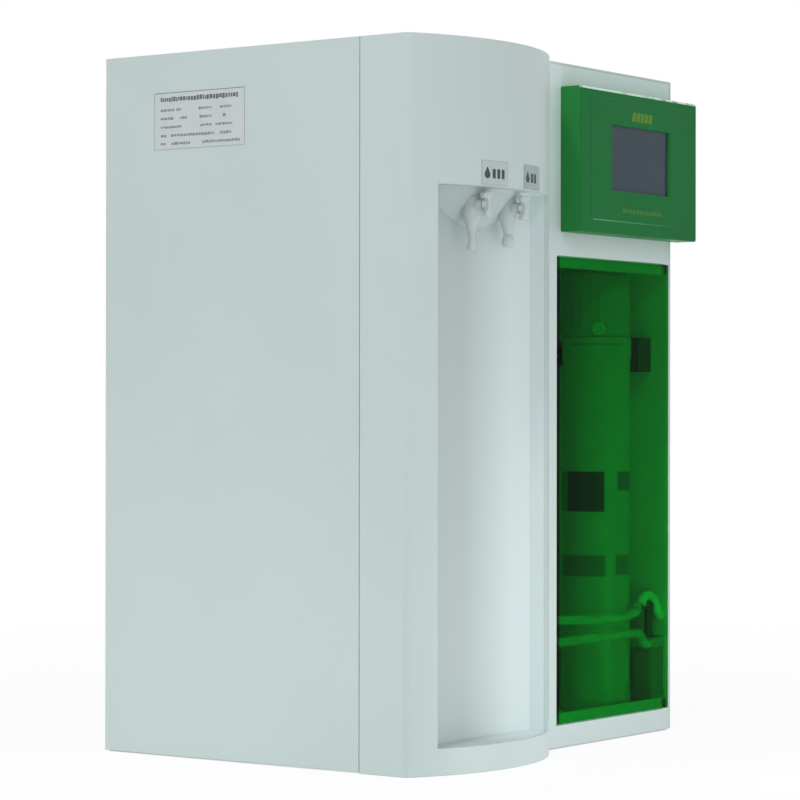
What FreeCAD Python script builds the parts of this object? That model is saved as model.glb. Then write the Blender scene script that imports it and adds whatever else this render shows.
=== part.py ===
import FreeCAD, Part
import math
import os

from FreeCAD import Vector

# Bench-top ultrapure water system, in millimetres. While modelling, x runs right from the outer
# face of the left side panel, y runs back from the joint between the tower and that panel, and
# z runs up from the bench. Every node is shifted to the middle of its outline when written.

# ---- overall size
height = 590.0
cabinet_width = 430.0
cabinet_back = 268.0
panel_front = -36.0
side_thick = 3.0
side_lift = 1.3
sheet = 1.5
cover_thick = 2.0
joint_gap = 0.6
pan_flange = 16.0
inner_right = cabinet_width - side_thick
inner_back = cabinet_back - cover_thick
inner_top = height - cover_thick
panel_back = panel_front + sheet

# ---- tower
tower_width = 210.0
bow_radius = 188.0
bow_front = -78.2
tower_wall = 3.0
tower_corner_left = 8.0
tower_corner_right = 22.0

# ---- dispensing niche
niche_left = 24.5
niche_right_margin = 24.0
niche_right = tower_width - niche_right_margin
niche_inset = 5.5
niche_bottom = 21.6
niche_drop = 119.0
niche_top = height - niche_drop
niche_side_y = -45.5
niche_back_y = -38.5
liner_wall = 2.5
hood_radius = 200.0
hood_front_y = -66.0
hood_fall = 30.0
hood_back_z = niche_top - hood_fall
hood_reach = 260.0

# ---- taps
tap_left = 83.0
tap_pitch = 54.0
tap_xs = (tap_left, tap_left + tap_pitch)
tap_y = -52.0
tap_hang = 35.0
tap_taper = 11.0
tap_bottom = niche_top - tap_hang
tap_taper_top = tap_bottom + tap_taper
tap_body_r = 7.5
tap_neck_r = 3.6
tap_shank_r = 5.0
tap_shank_rise = 29.0
tap_shank_top = niche_top + tap_shank_rise
tap_bore_r = 1.5
plug_drop = 13.5
plug_z = niche_top - plug_drop
plug_r = 3.5
plug_stem_r = 2.5
plug_clearance = 0.05
handle_front = -70.5
handle_back = -64.5
handle_hub_r = 4.6
wing_reach = 10.2
wing_root = 5.0
wing_half = 7.5
wing_low_half = 5.0
wing_web = 1.0
wing_thick = 5.2
wing_round = 2.5
nozzle_bore_r = 2.0
nozzle_hangs = ((15.5, 3.6), (10.2, 5.4))
bracket_thick = 2.0
bracket_margin = 23.0
bracket_front_y = -72.0
nut_across = 16.0
nut_thick = 5.0
label_width = 31.5
label_height = 19.5
label_shift = 2.0
label_pitch = 57.0
label_gap = 1.5
label_thick = 0.4
label_xs = (tap_left - label_shift, tap_left - label_shift + label_pitch)

# ---- right front panel and door
door_left_margin = 28.5
door_right_margin = 3.8
door_left = tower_width + door_left_margin
door_right = cabinet_width - door_right_margin
door_bottom = 21.0
door_drop = 167.0
door_top = height - door_drop
door_thick = 3.0
door_back = panel_front + door_thick
opening_margin = 1.0
opening_left = door_left - opening_margin
opening_bottom = door_bottom - opening_margin
opening_top = door_top + opening_margin
hinge_inset = 2.7
hinge_x = door_right - hinge_inset
hinge_pin_r = 1.2
hinge_clearance = 0.05
hinge_pin_depth = 8.0
hinge_block_height = 12.0
hinge_block_depth = 6.0
hinge_block_side = 5.5
hinge_gap = 0.4
stop_height = 10.0
stop_thick = 1.2
stop_gap = 0.4
stop_clear = 3.3

# ---- cartridge bay
bay_back = 73.5
catch_drop = 83.0
catch_z = door_top - catch_drop
catch_size = (12.0, 9.0, 24.0)
strike_inset = 2.0
strike_size = (10.0, 20.0)
strike_thick = 1.0
strike_gap = 0.4
polish_margin = 19.0
condition_margin = 10.5
cartridge_space = 32.0
bay_margins = polish_margin + condition_margin + cartridge_space
cartridge_r = (inner_right - opening_left - bay_margins) / 4
polish_front_gap = 12.0
condition_back_gap = 2.0
polish_at = (inner_right - polish_margin - cartridge_r, door_back + polish_front_gap + cartridge_r)
condition_at = (
    opening_left + condition_margin + cartridge_r,
    bay_back - sheet - condition_back_gap - cartridge_r,
)
cartridge_headroom = 8.0
cartridge_cap = 58.0
cartridge_top = door_top - cartridge_headroom
cartridge_shoulder = cartridge_top - cartridge_cap
cartridge_round = 4.0
spout_r = 6.0
spout_rise = 7.0
spout_reach = 3.0
clip_height = 31.0
clip_top = cartridge_shoulder
clip_bottom = clip_top - clip_height
clip_thick = 4.0
clip_open = 23.0
clip_lap = 4.0
clip_grip = 18.0
clip_ahead = 28.0
recirc_width = 22.0
recirc_front = door_back + 2.0
recirc_clear = 20.0
recirc_bottom = 28.0
recirc_top = 85.0
recirc_foot_inset = 3.0
elbow_r = 3.6
elbow_collar_r = 5.5
elbow_collar = 6.0
elbow_rise = 29.0
elbow_reach = 9.0
elbow_inset = 8.0
elbow_setback = 8.5

# ---- console
console_left_margin = 33.5
console_overhang = 12.5
console_drop = 20.2
console_height = 125.3
console_left = tower_width + console_left_margin
console_right = cabinet_width + console_overhang
console_top = height - console_drop
console_bottom = console_top - console_height
console_front = -56.0
console_wall = 2.5
console_chamfer = 3.0
window_width = 98.3
window_height = 57.0
window_shift = 2.15
window_rise = 4.15
window_x = (console_left + console_right) / 2 + window_shift
window_z = (console_bottom + console_top) / 2 + window_rise
emblem_width = 35.0
emblem_height = 8.5
emblem_gap = 5.2
caption_width = 67.0
caption_height = 4.0
caption_gap = 15.3
trim_thick = 0.4
screw_r = 1.5
screw_inset = 18.5
screw_edge = 20.0
screw_low = 15.5
screw_high = 14.8
cable_hole_r = 8.0
cable_hole_rise = 55.5

# ---- rating plate
plate_y = (117.2, 214.0)
plate_drop = 33.0
plate_height = 47.5
plate_z = (height - plate_drop - plate_height, height - plate_drop)

# ---- rear fittings
port_first = 40.0
port_pitch = 40.0
port_xs = tuple(port_first + port_pitch * i for i in range(4))
port_z = 36.0
port_r = 8.0
port_bore_r = 3.2
port_through_r = 1.5
port_bore_depth = 14.0
port_reach = 16.0
port_inside = 20.0
port_nut_across = 22.0
port_nut_thick = 5.0
inlet_margin = 70.0
inlet_x = cabinet_width - inlet_margin
inlet_z = 70.0
inlet_cavity = (24.6, 16.6, 17.0)
inlet_wall = 2.5
inlet_flange_half = (20.0, 15.0)
inlet_flange_thick = 2.5
inlet_depth = 20.0
rocker_rise = 40.0
rocker_z = inlet_z + rocker_rise
rocker_half_x = 6.0
rocker_half_z = 11.0
rocker_gap = 0.4
rocker_pin_r = 1.5
fuse_offset = 50.0
fuse_x = inlet_x - fuse_offset
fuse_r = 7.0
fuse_depth = 22.0
vent_height = 4.0
vent_pitch = 14.0
vent_rows = 8
vent_drop = 210.0
vent_margin = 26.0
vent_gap = 20.0
vent_edge = 37.0
back_screw_inset = 16.0
back_screw_r = 3.5
back_screw_head = 1.8
back_screw_z = 30.0

# ---- rear compartment
partition_gap = 14.0
partition_x = tower_width + partition_gap
filter_spaces = 41.0
filter_r = (partition_x - side_thick - filter_spaces) / 6
membrane_step = 8.0
membrane_r = filter_r + membrane_step
membrane_side_gap = 6.0
cap_step = 3.0
membrane_drop = 170.0
membrane_z = (60.0, height - membrane_drop)
membrane_cap = 30.0
membrane_at = (side_thick + membrane_side_gap + membrane_r + cap_step, 210.0)
membrane_gap = 1.0
filter_gap = 6.0
filter_drop = 250.0
filter_z = (60.0, height - filter_drop)
filter_round = 6.0
filter_y = 220.0
sediment_x = membrane_at[0] + membrane_r + cap_step + membrane_gap + filter_r
sediment_at = (sediment_x, filter_y)
carbon_at = (sediment_x + 2 * filter_r + filter_gap, filter_y)
filter_bar_x = (14.0, partition_x - filter_gap)
filter_bar_y = 226.0
filter_bar_height = 18.0
filter_bar_low = 70.0
filter_bar_high = 50.0
reactor_at = (44.0, 120.0)
reactor_r = 25.0
reactor_drop = 190.0
reactor_z = (90.0, height - reactor_drop)
reactor_wall = 1.5
cradle_half = 14.0
cradle_height = 16.0
cradle_low = 50.0
cradle_high = 60.0
cell_r = 8.0
cell_height = 34.0
lamp_r = 8.0
pump_y = 95.0
pump_axis_z = 44.0
motor_r = 30.0
motor_x = (70.0, 160.0)
head_x = (160.0, 200.0)
head_half = 28.0
foot_width = 18.0
foot_half = 24.0
foot_inset = 10.0
switch_r = 13.0
switch_neck_r = 6.0
switch_neck = 10.0
switch_height = 24.0
valve_xs = (30.0, 92.0)
valve_y = 36.0
valve_coil_half = (13.0, 14.0)
valve_base_half = (16.0, 18.0)
valve_base_top = 26.0
valve_top = 60.0
supply_y = (100.0, 200.0)
supply_top = 42.0
supply_margin = 25.0
supply_edge = 27.0
relay_y = (92.0, 238.0)
relay_z = (122.0, 258.0)
relay_stand = 6.0
relay_board_thick = 1.6
relay_size = (16.4, 18.0, 24.0)
relay_inset = 8.0
relay_pitch = 30.0
relay_rise = 78.0
tube_r = 3.2
bay_tube_r = 4.0
bay_tube_gap = 0.6
bay_tube_bend = 8.0
bay_tube_lead = 6.0
droop_bend = 55.0
droop_rise = 20.0
cross_rise = 5.5
wire_r = 2.4
wire_offset = 6.0
wire_turn_y = 190.0
seat_gap = 0.3


def box(x0, x1, y0, y1, z0, z1):
    return Part.makeBox(x1 - x0, y1 - y0, z1 - z0, Vector(x0, y0, z0))


def rod(r, start, direction, length):
    return Part.makeCylinder(r, length, Vector(*start), Vector(*direction))


def upright(r, at, z0, z1):
    return rod(r, (at[0], at[1], z0), (0, 0, 1), z1 - z0)


def join(shapes):
    whole = shapes[0]
    for shape in shapes[1:]:
        whole = whole.fuse(shape)
    return whole.removeSplitter()


def prism(points, z0, z1):
    corners = [Vector(x, y, z0) for x, y in points]
    face = Part.Face(Part.makePolygon(corners + corners[:1]))
    return face.extrude(Vector(0, 0, z1 - z0))


def hexagon(across, at, z0, thick):
    r = across / 2 / math.cos(math.pi / 6)
    turns = [math.radians(60 * i) for i in range(6)]
    points = [(at[0] + r * math.cos(a), at[1] + r * math.sin(a)) for a in turns]
    return prism(points, z0, z0 + thick)


def revolved(profile, at):
    corners = [Vector(at[0] + r, at[1], z) for r, z in profile]
    face = Part.Face(Part.makePolygon(corners + corners[:1]))
    return face.revolve(Vector(at[0], at[1], 0), Vector(0, 0, 1), 360)


def pipe(points, r, bend=12.0):
    spots = [Vector(*p) for p in points]
    pieces = []
    start = spots[0]
    for before, corner, after in zip(spots, spots[1:], spots[2:]):
        ahead = (corner - before).normalize()
        onward = (after - corner).normalize()
        turn = ahead.getAngle(onward)
        cut_back = bend * math.tan(turn / 2)
        end = corner - ahead * cut_back
        pieces.append(Part.makeCylinder(r, (end - start).Length, start, ahead))
        axis = ahead.cross(onward).normalize()
        centre = end + axis.cross(ahead) * bend
        ring = Part.Face(Part.Wire(Part.Circle(end, ahead, r).toShape()))
        pieces.append(ring.revolve(centre, axis, math.degrees(turn)))
        start = corner + onward * cut_back
    last = spots[-1] - start
    pieces.append(Part.makeCylinder(r, last.Length, start, last))
    return pieces[0].multiFuse(pieces[1:]).removeSplitter()


def round_uprights(shape, radius, keep):
    edges = []
    for edge in shape.Edges:
        ends = [v.Point for v in edge.Vertexes]
        if len(ends) != 2:
            continue
        level = abs(ends[0].x - ends[1].x) + abs(ends[0].y - ends[1].y) < 1e-6
        if level and keep(ends[0].x, ends[0].y):
            edges.append(edge)
    return shape.makeFillet(radius, edges)


nodes = {}
bow_x = tower_width / 2
bow_y = bow_front + bow_radius

# ---- tower shell and niche

def tower_block(inset):
    sides = box(inset, tower_width - inset, bow_front - 5, -joint_gap, inset, height - inset)
    bow = upright(bow_radius - inset, (bow_x, bow_y), inset, height - inset)
    block = sides.common(bow)
    block = round_uprights(block, tower_corner_left - inset, lambda x, y: y < -20 and x < bow_x)
    return round_uprights(block, tower_corner_right - inset, lambda x, y: y < -20 and x > bow_x + 60)


def niche_plan(grow):
    back = niche_back_y + grow
    side = niche_side_y + grow
    left = niche_left - grow
    right = niche_right + grow
    front = bow_front - 5
    run = niche_side_y - bow_y + math.sqrt(bow_radius ** 2 - (bow_x - niche_left) ** 2)
    lean = niche_inset / run
    reach = (side - front) * lean
    slip = (side - niche_side_y) * lean
    a = Vector(left + niche_inset + slip - reach, front, 0)
    b = Vector(left + niche_inset + slip, side, 0)
    c = Vector(bow_x, back, 0)
    d = Vector(right - niche_inset - slip, side, 0)
    e = Vector(right - niche_inset - slip + reach, front, 0)
    edges = [
        Part.LineSegment(a, b).toShape(),
        Part.Arc(b, c, d).toShape(),
        Part.LineSegment(d, e).toShape(),
        Part.LineSegment(e, a).toShape(),
    ]
    return Part.Face(Part.Wire(edges))


def niche_prism(grow, z0, z1):
    solid = niche_plan(grow).extrude(Vector(0, 0, z1 - z0))
    solid.translate(Vector(0, 0, z0))
    return solid


def hood_bar(inset):
    drop = niche_top - hood_back_z
    run = niche_back_y - hood_front_y
    long = math.hypot(drop, run)
    ahead = Vector(0, run / long, -drop / long)
    up = Vector(0, drop / long, run / long)
    start = Vector(bow_x, hood_front_y, niche_top) - ahead * hood_reach * 0.4 + up * hood_radius
    return Part.makeCylinder(hood_radius - inset, hood_reach, start, ahead)


def tap_outline(x):
    top = niche_top + liner_wall
    cone = [(0, tap_bottom), (tap_neck_r, tap_bottom), (tap_body_r, tap_taper_top)]
    cap = [(tap_body_r, top), (tap_shank_r, top)]
    shank = [(tap_shank_r, tap_shank_top), (0, tap_shank_top)]
    return revolved(cone + cap + shank, (x, tap_y))


shell = tower_block(0).cut(tower_block(tower_wall))
shell = shell.cut(box(tower_wall, tower_width - tower_wall, -6, 0, tower_wall, height - tower_wall))
shell = shell.cut(niche_prism(0, niche_bottom, niche_top))
nodes["tower_shell"] = shell

cavity = niche_prism(0, niche_bottom, niche_top).cut(hood_bar(0))
liner_top = niche_top + liner_wall
liner = niche_prism(liner_wall, niche_bottom - liner_wall, liner_top)
liner = liner.cut(cavity).cut(hood_bar(liner_wall).common(niche_prism(0, niche_top / 2, liner_top)))
liner = liner.common(tower_block(tower_wall))
for x in tap_xs:
    liner = liner.cut(tap_outline(x))
nodes["niche_liner"] = liner

bracket = box(
    tap_xs[0] - bracket_margin, tap_xs[1] + bracket_margin, bracket_front_y,
    niche_back_y + liner_wall, liner_top, liner_top + bracket_thick,
)
bracket = bracket.common(tower_block(tower_wall))
for x in tap_xs:
    bracket = bracket.cut(upright(tap_shank_r, (x, tap_y), niche_top, tap_shank_top))
nodes["tap_bracket"] = bracket


# ---- taps

def wing_handle(x):
    thick = handle_back - handle_front
    hub = rod(handle_hub_r, (x, handle_back, plug_z), (0, -1, 0), thick)
    middle = (handle_front + handle_back) / 2
    half = wing_thick / 2
    back, ahead = middle - half, middle + half
    top = box(x - wing_half, x + wing_half, back, ahead, plug_z + wing_root, plug_z + wing_reach)
    low = box(
        x - wing_low_half, x + wing_low_half, back, ahead, plug_z - wing_reach, plug_z - wing_root
    )
    web_end = wing_root + wing_web
    web = box(x - half, x + half, back, ahead, plug_z - web_end, plug_z + web_end)
    top = top.makeFillet(wing_round, [e for e in top.Edges if abs(e.Vertexes[0].Y - e.Vertexes[1].Y) > 1])
    low = low.makeFillet(wing_round, [e for e in low.Edges if abs(e.Vertexes[0].Y - e.Vertexes[1].Y) > 1])
    return join([hub, web, top, low])


lock_nuts = []
tap_bodies = []
tap_nozzles = []
tap_labels = []
for number, x in enumerate(tap_xs, 1):
    body = tap_outline(x)
    body = body.cut(upright(tap_bore_r, (x, tap_y), tap_bottom, tap_shank_top))
    seat_r = plug_r + plug_clearance
    seat_back = tap_y + tap_body_r - 1.5
    seat = rod(seat_r, (x, seat_back, plug_z), (0, -1, 0), 30)
    tap_bodies.append(body.cut(seat))
    plug_back = seat_back - 0.4
    plug_front = tap_y - tap_body_r - 0.5
    plug = rod(plug_r, (x, plug_back, plug_z), (0, -1, 0), plug_back - plug_front)
    stem = rod(plug_stem_r, (x, plug_front, plug_z), (0, -1, 0), plug_front - handle_back)
    port = upright(tap_bore_r, (x, tap_y), plug_z - 8, plug_z + 8)
    nodes["tap_plug_%d" % number] = join([plug, stem]).cut(port)
    nodes["tap_handle_%d" % number] = wing_handle(x)
    hang, tip_r = nozzle_hangs[number - 1]
    tip_z = tap_bottom - hang
    ball_z = tip_z + tip_r
    ball = Part.makeSphere(tip_r, Vector(x, tap_y, ball_z))
    neck = upright(tap_neck_r - 0.6, (x, tap_y), ball_z, tap_bottom)
    nozzle = join([ball, neck]).cut(upright(nozzle_bore_r, (x, tap_y), tip_z - 2, tap_bottom))
    nozzle = nozzle.common(box(x - 9, x + 9, tap_y - 9, tap_y + 9, tip_z - 2, tap_bottom))
    tap_nozzles.append(nozzle)
    nut = hexagon(nut_across, (x, tap_y), liner_top + bracket_thick, nut_thick)
    lock_nuts.append(nut.cut(upright(tap_shank_r, (x, tap_y), niche_top, tap_shank_top)))
    label_x = label_xs[number - 1]
    label_z = niche_top + label_gap
    skin = upright(bow_radius + label_thick, (bow_x, bow_y), label_z, label_z + label_height)
    skin = skin.cut(upright(bow_radius, (bow_x, bow_y), label_z, label_z + label_height))
    span = box(
        label_x - label_width / 2, label_x + label_width / 2, 2 * bow_front,
        niche_back_y, label_z, label_z + label_height,
    )
    tap_labels.append(skin.common(span))
nodes["tap_bodies"] = Part.Compound(tap_bodies)
nodes["tap_nozzles"] = Part.Compound(tap_nozzles)
nodes["tap_labels"] = Part.Compound(tap_labels)


# ---- cabinet panels

nodes["left_side_panel"] = box(0, side_thick, 0, cabinet_back, side_lift, height)
nodes["right_side_panel"] = box(
    inner_right, cabinet_width, panel_front, cabinet_back, side_lift, height
)
top_plate = join([
    box(side_thick, inner_right, 0, inner_back, inner_top, height),
    box(tower_width, inner_right, panel_front, 0, inner_top, height),
])
nodes["top_panel"] = top_plate

pan_plan = [
    (side_thick, 0), (tower_width, 0), (tower_width, panel_back),
    (inner_right, panel_back), (inner_right, inner_back), (side_thick, inner_back),
]
pan_inside = [
    (side_thick + sheet, sheet), (tower_width + sheet, sheet),
    (tower_width + sheet, panel_back + sheet), (inner_right - sheet, panel_back + sheet),
    (inner_right - sheet, inner_back - sheet), (side_thick + sheet, inner_back - sheet),
]
pan = prism(pan_plan, 0, pan_flange).cut(prism(pan_inside, sheet, pan_flange + 1))

rear = box(side_thick, inner_right, inner_back, cabinet_back, side_lift, inner_top)
for x in port_xs:
    rear = rear.cut(rod(port_r, (x, inner_back - 5, port_z), (0, 1, 0), 20))
inlet_half = (inlet_cavity[0] / 2 + inlet_wall, inlet_cavity[1] / 2 + inlet_wall)
rear = rear.cut(box(
    inlet_x - inlet_half[0], inlet_x + inlet_half[0], inner_back - 5, cabinet_back + 5,
    inlet_z - inlet_half[1], inlet_z + inlet_half[1],
))
frame_half = (rocker_half_x + 3, rocker_half_z + 3)
rear = rear.cut(box(
    inlet_x - frame_half[0], inlet_x + frame_half[0], inner_back - 5, cabinet_back + 5,
    rocker_z - frame_half[1], rocker_z + frame_half[1],
))
rear = rear.cut(rod(fuse_r, (fuse_x, inner_back - 5, inlet_z), (0, 1, 0), 20))
vent_left = partition_x + vent_margin
vent_width = (inner_right - vent_edge - vent_left - vent_gap) / 2
for row in range(vent_rows):
    z = height - vent_drop + row * vent_pitch
    for x in (vent_left, vent_left + vent_width + vent_gap):
        rear = rear.cut(box(x, x + vent_width, inner_back - 5, cabinet_back + 5, z, z + vent_height))
nodes["rear_panel"] = rear

block_low = (door_bottom - hinge_gap - hinge_block_height, door_bottom - hinge_gap)
block_high = (door_top + hinge_gap, door_top + hinge_gap + hinge_block_height)
block_left = hinge_x - hinge_block_side
hinge_blocks = []
for z0, z1 in (block_low, block_high):
    block = box(block_left, inner_right, panel_front, panel_front + hinge_block_depth, z0, z1)
    hinge_blocks.append(block)
pivot_y = panel_front + door_thick / 2

front = box(tower_width, inner_right, panel_front, panel_back, side_lift, inner_top)
front = front.cut(box(
    opening_left, inner_right + 1, panel_front - 1, panel_back + 1, opening_bottom, opening_top
))
for block in hinge_blocks:
    front = front.cut(block)
    pan = pan.cut(block)
nodes["base_pan"] = pan
cable_hole = ((console_left + console_right) / 2, console_bottom + cable_hole_rise)
front = front.cut(rod(cable_hole_r, (cable_hole[0], panel_front - 5, cable_hole[1]), (0, 1, 0), 12))
console_screws_at = []
for x in (console_left + screw_inset, cabinet_width - screw_edge):
    for z in (console_bottom + screw_low, console_top - screw_high):
        console_screws_at.append((x, z))
for x, z in console_screws_at:
    front = front.cut(rod(screw_r, (x, panel_front - 5, z), (0, 1, 0), 12))
nodes["front_panel"] = front


# ---- cartridge bay lining, door and hinges

lining_low = opening_bottom - sheet
lining_high = opening_top + sheet
wall_front = bay_back - sheet
lining_parts = [
    box(opening_left - sheet, opening_left, panel_back, bay_back, lining_low, lining_high),
    box(opening_left, inner_right, wall_front, bay_back, lining_low, lining_high),
    box(opening_left, inner_right, panel_back, wall_front, lining_low, opening_bottom),
    box(opening_left, inner_right, panel_back, wall_front, opening_top, lining_high),
]
stop_front = door_back + stop_gap
for z0, z1 in (
    (opening_bottom, opening_bottom + stop_height), (opening_top - stop_height, opening_top),
):
    lining_parts.append(
        box(opening_left, hinge_x - stop_clear, stop_front, stop_front + stop_thick, z0, z1)
    )
lining = join(lining_parts)
for block in hinge_blocks:
    lining = lining.cut(block)
nodes["bay_lining"] = lining

hole_r = hinge_pin_r + hinge_clearance
drilled = []
pins = []
for block, z_in, z_out in (
    (hinge_blocks[0], block_low[1] - hinge_pin_depth, door_bottom + hinge_pin_depth),
    (hinge_blocks[1], block_high[0] + hinge_pin_depth, door_top - hinge_pin_depth),
):
    low, high = sorted((z_in, z_out))
    drilled.append(block.cut(upright(hole_r, (hinge_x, pivot_y), low - 0.5, high + 0.5)))
    pins.append(upright(hinge_pin_r, (hinge_x, pivot_y), low, high))
nodes["door_hinge_blocks"] = Part.Compound(drilled)
nodes["door_hinge_pins"] = Part.Compound(pins)

door = box(door_left, door_right, panel_front, door_back, door_bottom, door_top)
for pin in pins:
    door = door.cut(pin)
nodes["door"] = door

strike = box(
    door_left + strike_inset, door_left + strike_inset + strike_size[0], door_back,
    door_back + strike_thick, catch_z - strike_size[1] / 2, catch_z + strike_size[1] / 2,
)
nodes["door_strike_plate"] = strike
catch_front = door_back + strike_thick + strike_gap
catch = box(
    opening_left, opening_left + catch_size[0], catch_front, catch_front + catch_size[1],
    catch_z - catch_size[2] / 2, catch_z + catch_size[2] / 2,
)
nodes["door_magnet_catch"] = catch


# ---- cartridges

def canister(at, r, z0, z1, edge):
    body = upright(r, at, z0, z1)
    return body.makeFillet(edge, [e for e in body.Edges if e.Closed])


bay_floor = opening_bottom
nodes["polishing_cartridge"] = upright(cartridge_r, polish_at, bay_floor, cartridge_shoulder)
head = upright(cartridge_r, polish_at, cartridge_shoulder, cartridge_top)
spout_start = (polish_at[0], polish_at[1], cartridge_shoulder + spout_rise)
spout = rod(spout_r, spout_start, (-0.81, -0.58, 0), cartridge_r + spout_reach)
nodes["polishing_cartridge_head"] = join([head, spout])
nodes["conditioning_cartridge"] = canister(
    condition_at, cartridge_r, bay_floor, cartridge_top, cartridge_round
)

ring = upright(cartridge_r + clip_thick, polish_at, clip_bottom, clip_top)
polish_edge = polish_at[0] + cartridge_r
ring = ring.fuse(box(
    polish_edge - clip_lap, polish_edge + clip_grip, polish_at[1] - clip_ahead, polish_at[1] + 2,
    clip_bottom, clip_top,
))
ring = ring.fuse(box(
    polish_edge - 4, inner_right, polish_at[1] - 16, polish_at[1] + 16, clip_bottom, clip_top
))
ring = ring.cut(upright(cartridge_r, polish_at, clip_bottom, clip_top))
ring = ring.cut(box(
    opening_left, polish_at[0] + clip_open, panel_front, bay_back, clip_bottom, clip_top
))
side_clip = ring.removeSplitter()
saddle = box(
    condition_at[0] - cartridge_r + 10, condition_at[0] + cartridge_r - 10, condition_at[1],
    bay_back - sheet,
    clip_bottom, clip_top,
)
saddle = saddle.cut(upright(cartridge_r, condition_at, clip_bottom, clip_top))
nodes["cartridge_clips"] = Part.Compound([side_clip, saddle])

x0 = inner_right - recirc_width
y0 = recirc_front
y1 = polish_at[1] - recirc_clear
foot_in = recirc_foot_inset
pump_block = box(x0, inner_right, y0, y1, recirc_bottom, recirc_top)
pump_foot = box(
    x0 + foot_in, inner_right - foot_in, y0 + foot_in, y1 - foot_in, bay_floor, recirc_bottom
)
nodes["recirculation_pump"] = join([pump_block, pump_foot])
elbow_x = x0 + elbow_inset
elbow_y = y0 + elbow_setback
elbow_z = recirc_top + elbow_rise
elbow_end = x0 - elbow_reach
elbow = join([
    upright(elbow_r, (elbow_x, elbow_y), recirc_top, elbow_z),
    rod(
        elbow_r, (elbow_x + elbow_r, elbow_y, elbow_z), (-1, 0, 0), elbow_x + elbow_r - elbow_end
    ),
    upright(elbow_collar_r, (elbow_x, elbow_y + 1.5), recirc_top, recirc_top + elbow_collar),
])
nodes["pump_elbow"] = elbow
tube_y = door_back + bay_tube_gap + bay_tube_r
wall_end = opening_left + seat_gap
elbow_lead = elbow_end - bay_tube_lead
pump_lead = x0 - bay_tube_lead
droop_z = recirc_top + droop_rise
droop = [
    (elbow_end - 3 * seat_gap, elbow_y, elbow_z), (elbow_lead, elbow_y, elbow_z),
    (elbow_lead - 6.5, tube_y, elbow_z - 4.0), (x0 - droop_bend, tube_y, droop_z),
    (wall_end, tube_y, droop_z + 5.0),
]
inlet_level = recirc_top - bay_tube_r - 2.0
cross_z = recirc_top + cross_rise
cross = [
    (x0 - seat_gap, y0 + bay_tube_r, inlet_level), (pump_lead - 1.0, y0 + bay_tube_r, inlet_level),
    (pump_lead - 11.0, tube_y, cross_z), (wall_end, tube_y, cross_z),
]
bay_tubes = [pipe(droop, bay_tube_r, bay_tube_bend), pipe(cross, bay_tube_r, bay_tube_bend)]


# ---- console

outer = box(console_left, console_right, console_front, panel_front, console_bottom, console_top)
front_edges = [
    e for e in outer.Edges if all(abs(v.Y - console_front) < 1e-6 for v in e.Vertexes)
]
outer = outer.makeChamfer(console_chamfer, front_edges)
inner = box(
    console_left + console_wall, console_right - console_wall, console_front + console_wall,
    panel_front + 1, console_bottom + console_wall, console_top - console_wall,
)
housing = outer.cut(inner)
wx0 = window_x - window_width / 2
wx1 = window_x + window_width / 2
wz0 = window_z - window_height / 2
wz1 = window_z + window_height / 2
housing = housing.cut(box(wx0, wx1, console_front - 1, console_front + 4, wz0, wz1))
posts = []
plate_front = panel_front - 2
for x, z in console_screws_at:
    post = rod(4, (x, console_front + console_wall, z), (0, 1, 0), plate_front - console_front - console_wall)
    posts.append(post)
housing = join([housing] + posts)
for x, z in console_screws_at:
    housing = housing.cut(rod(screw_r, (x, plate_front - 8, z), (0, 1, 0), 10))
nodes["console_housing"] = housing

plate = box(
    console_left + console_wall, cabinet_width - 4, plate_front, panel_front,
    console_bottom + console_wall, console_top - console_wall,
)
plate = plate.cut(rod(cable_hole_r, (cable_hole[0], plate_front - 5, cable_hole[1]), (0, 1, 0), 12))
for x, z in console_screws_at:
    plate = plate.cut(rod(screw_r, (x, plate_front - 5, z), (0, 1, 0), 12))
nodes["console_back_plate"] = plate

glass_back = console_front + console_wall + 1.2
nodes["display_window"] = box(
    wx0 - 3, wx1 + 3, console_front + console_wall, glass_back, wz0 - 3, wz1 + 3
)
nodes["display_module"] = box(wx0 - 2, wx1 + 2, glass_back, glass_back + 5, wz0 - 2, wz1 + 2)
board_y = glass_back + 5
board_back = board_y + 1.6
board_left = wx0 - 24.0
board_low = wz0 - 7.0
board = box(board_left, wx1 + 6.0, board_y, board_back, board_low, wz1 + 8.0)
chips = []
for side, up, wide, tall, thick in ((28, 24, 18, 18, 2.0), (62, 18, 12, 12, 3.0), (88, 44, 20, 10, 1.6)):
    chips.append(box(
        board_left + side, board_left + side + wide, board_back, board_back + thick,
        board_low + up, board_low + up + tall,
    ))
nodes["control_board"] = join([board] + chips)
marks = []
for wide, tall, z in (
    (emblem_width, emblem_height, wz1 + emblem_gap),
    (caption_width, caption_height, wz0 - caption_gap - caption_height),
):
    marks.append(box(
        window_x - wide / 2, window_x + wide / 2, console_front - trim_thick, console_front,
        z, z + tall,
    ))
nodes["console_marks"] = Part.Compound(marks)
screws = []
for x, z in console_screws_at:
    shank = rod(screw_r, (x, plate_front - 6, z), (0, 1, 0), panel_back - plate_front + 6)
    cap = rod(screw_r * 2, (x, panel_back, z), (0, 1, 0), 2)
    screws.append(join([shank, cap]))
nodes["rating_plate"] = box(-trim_thick, 0, plate_y[0], plate_y[1], plate_z[0], plate_z[1])


# ---- rear fittings

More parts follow.
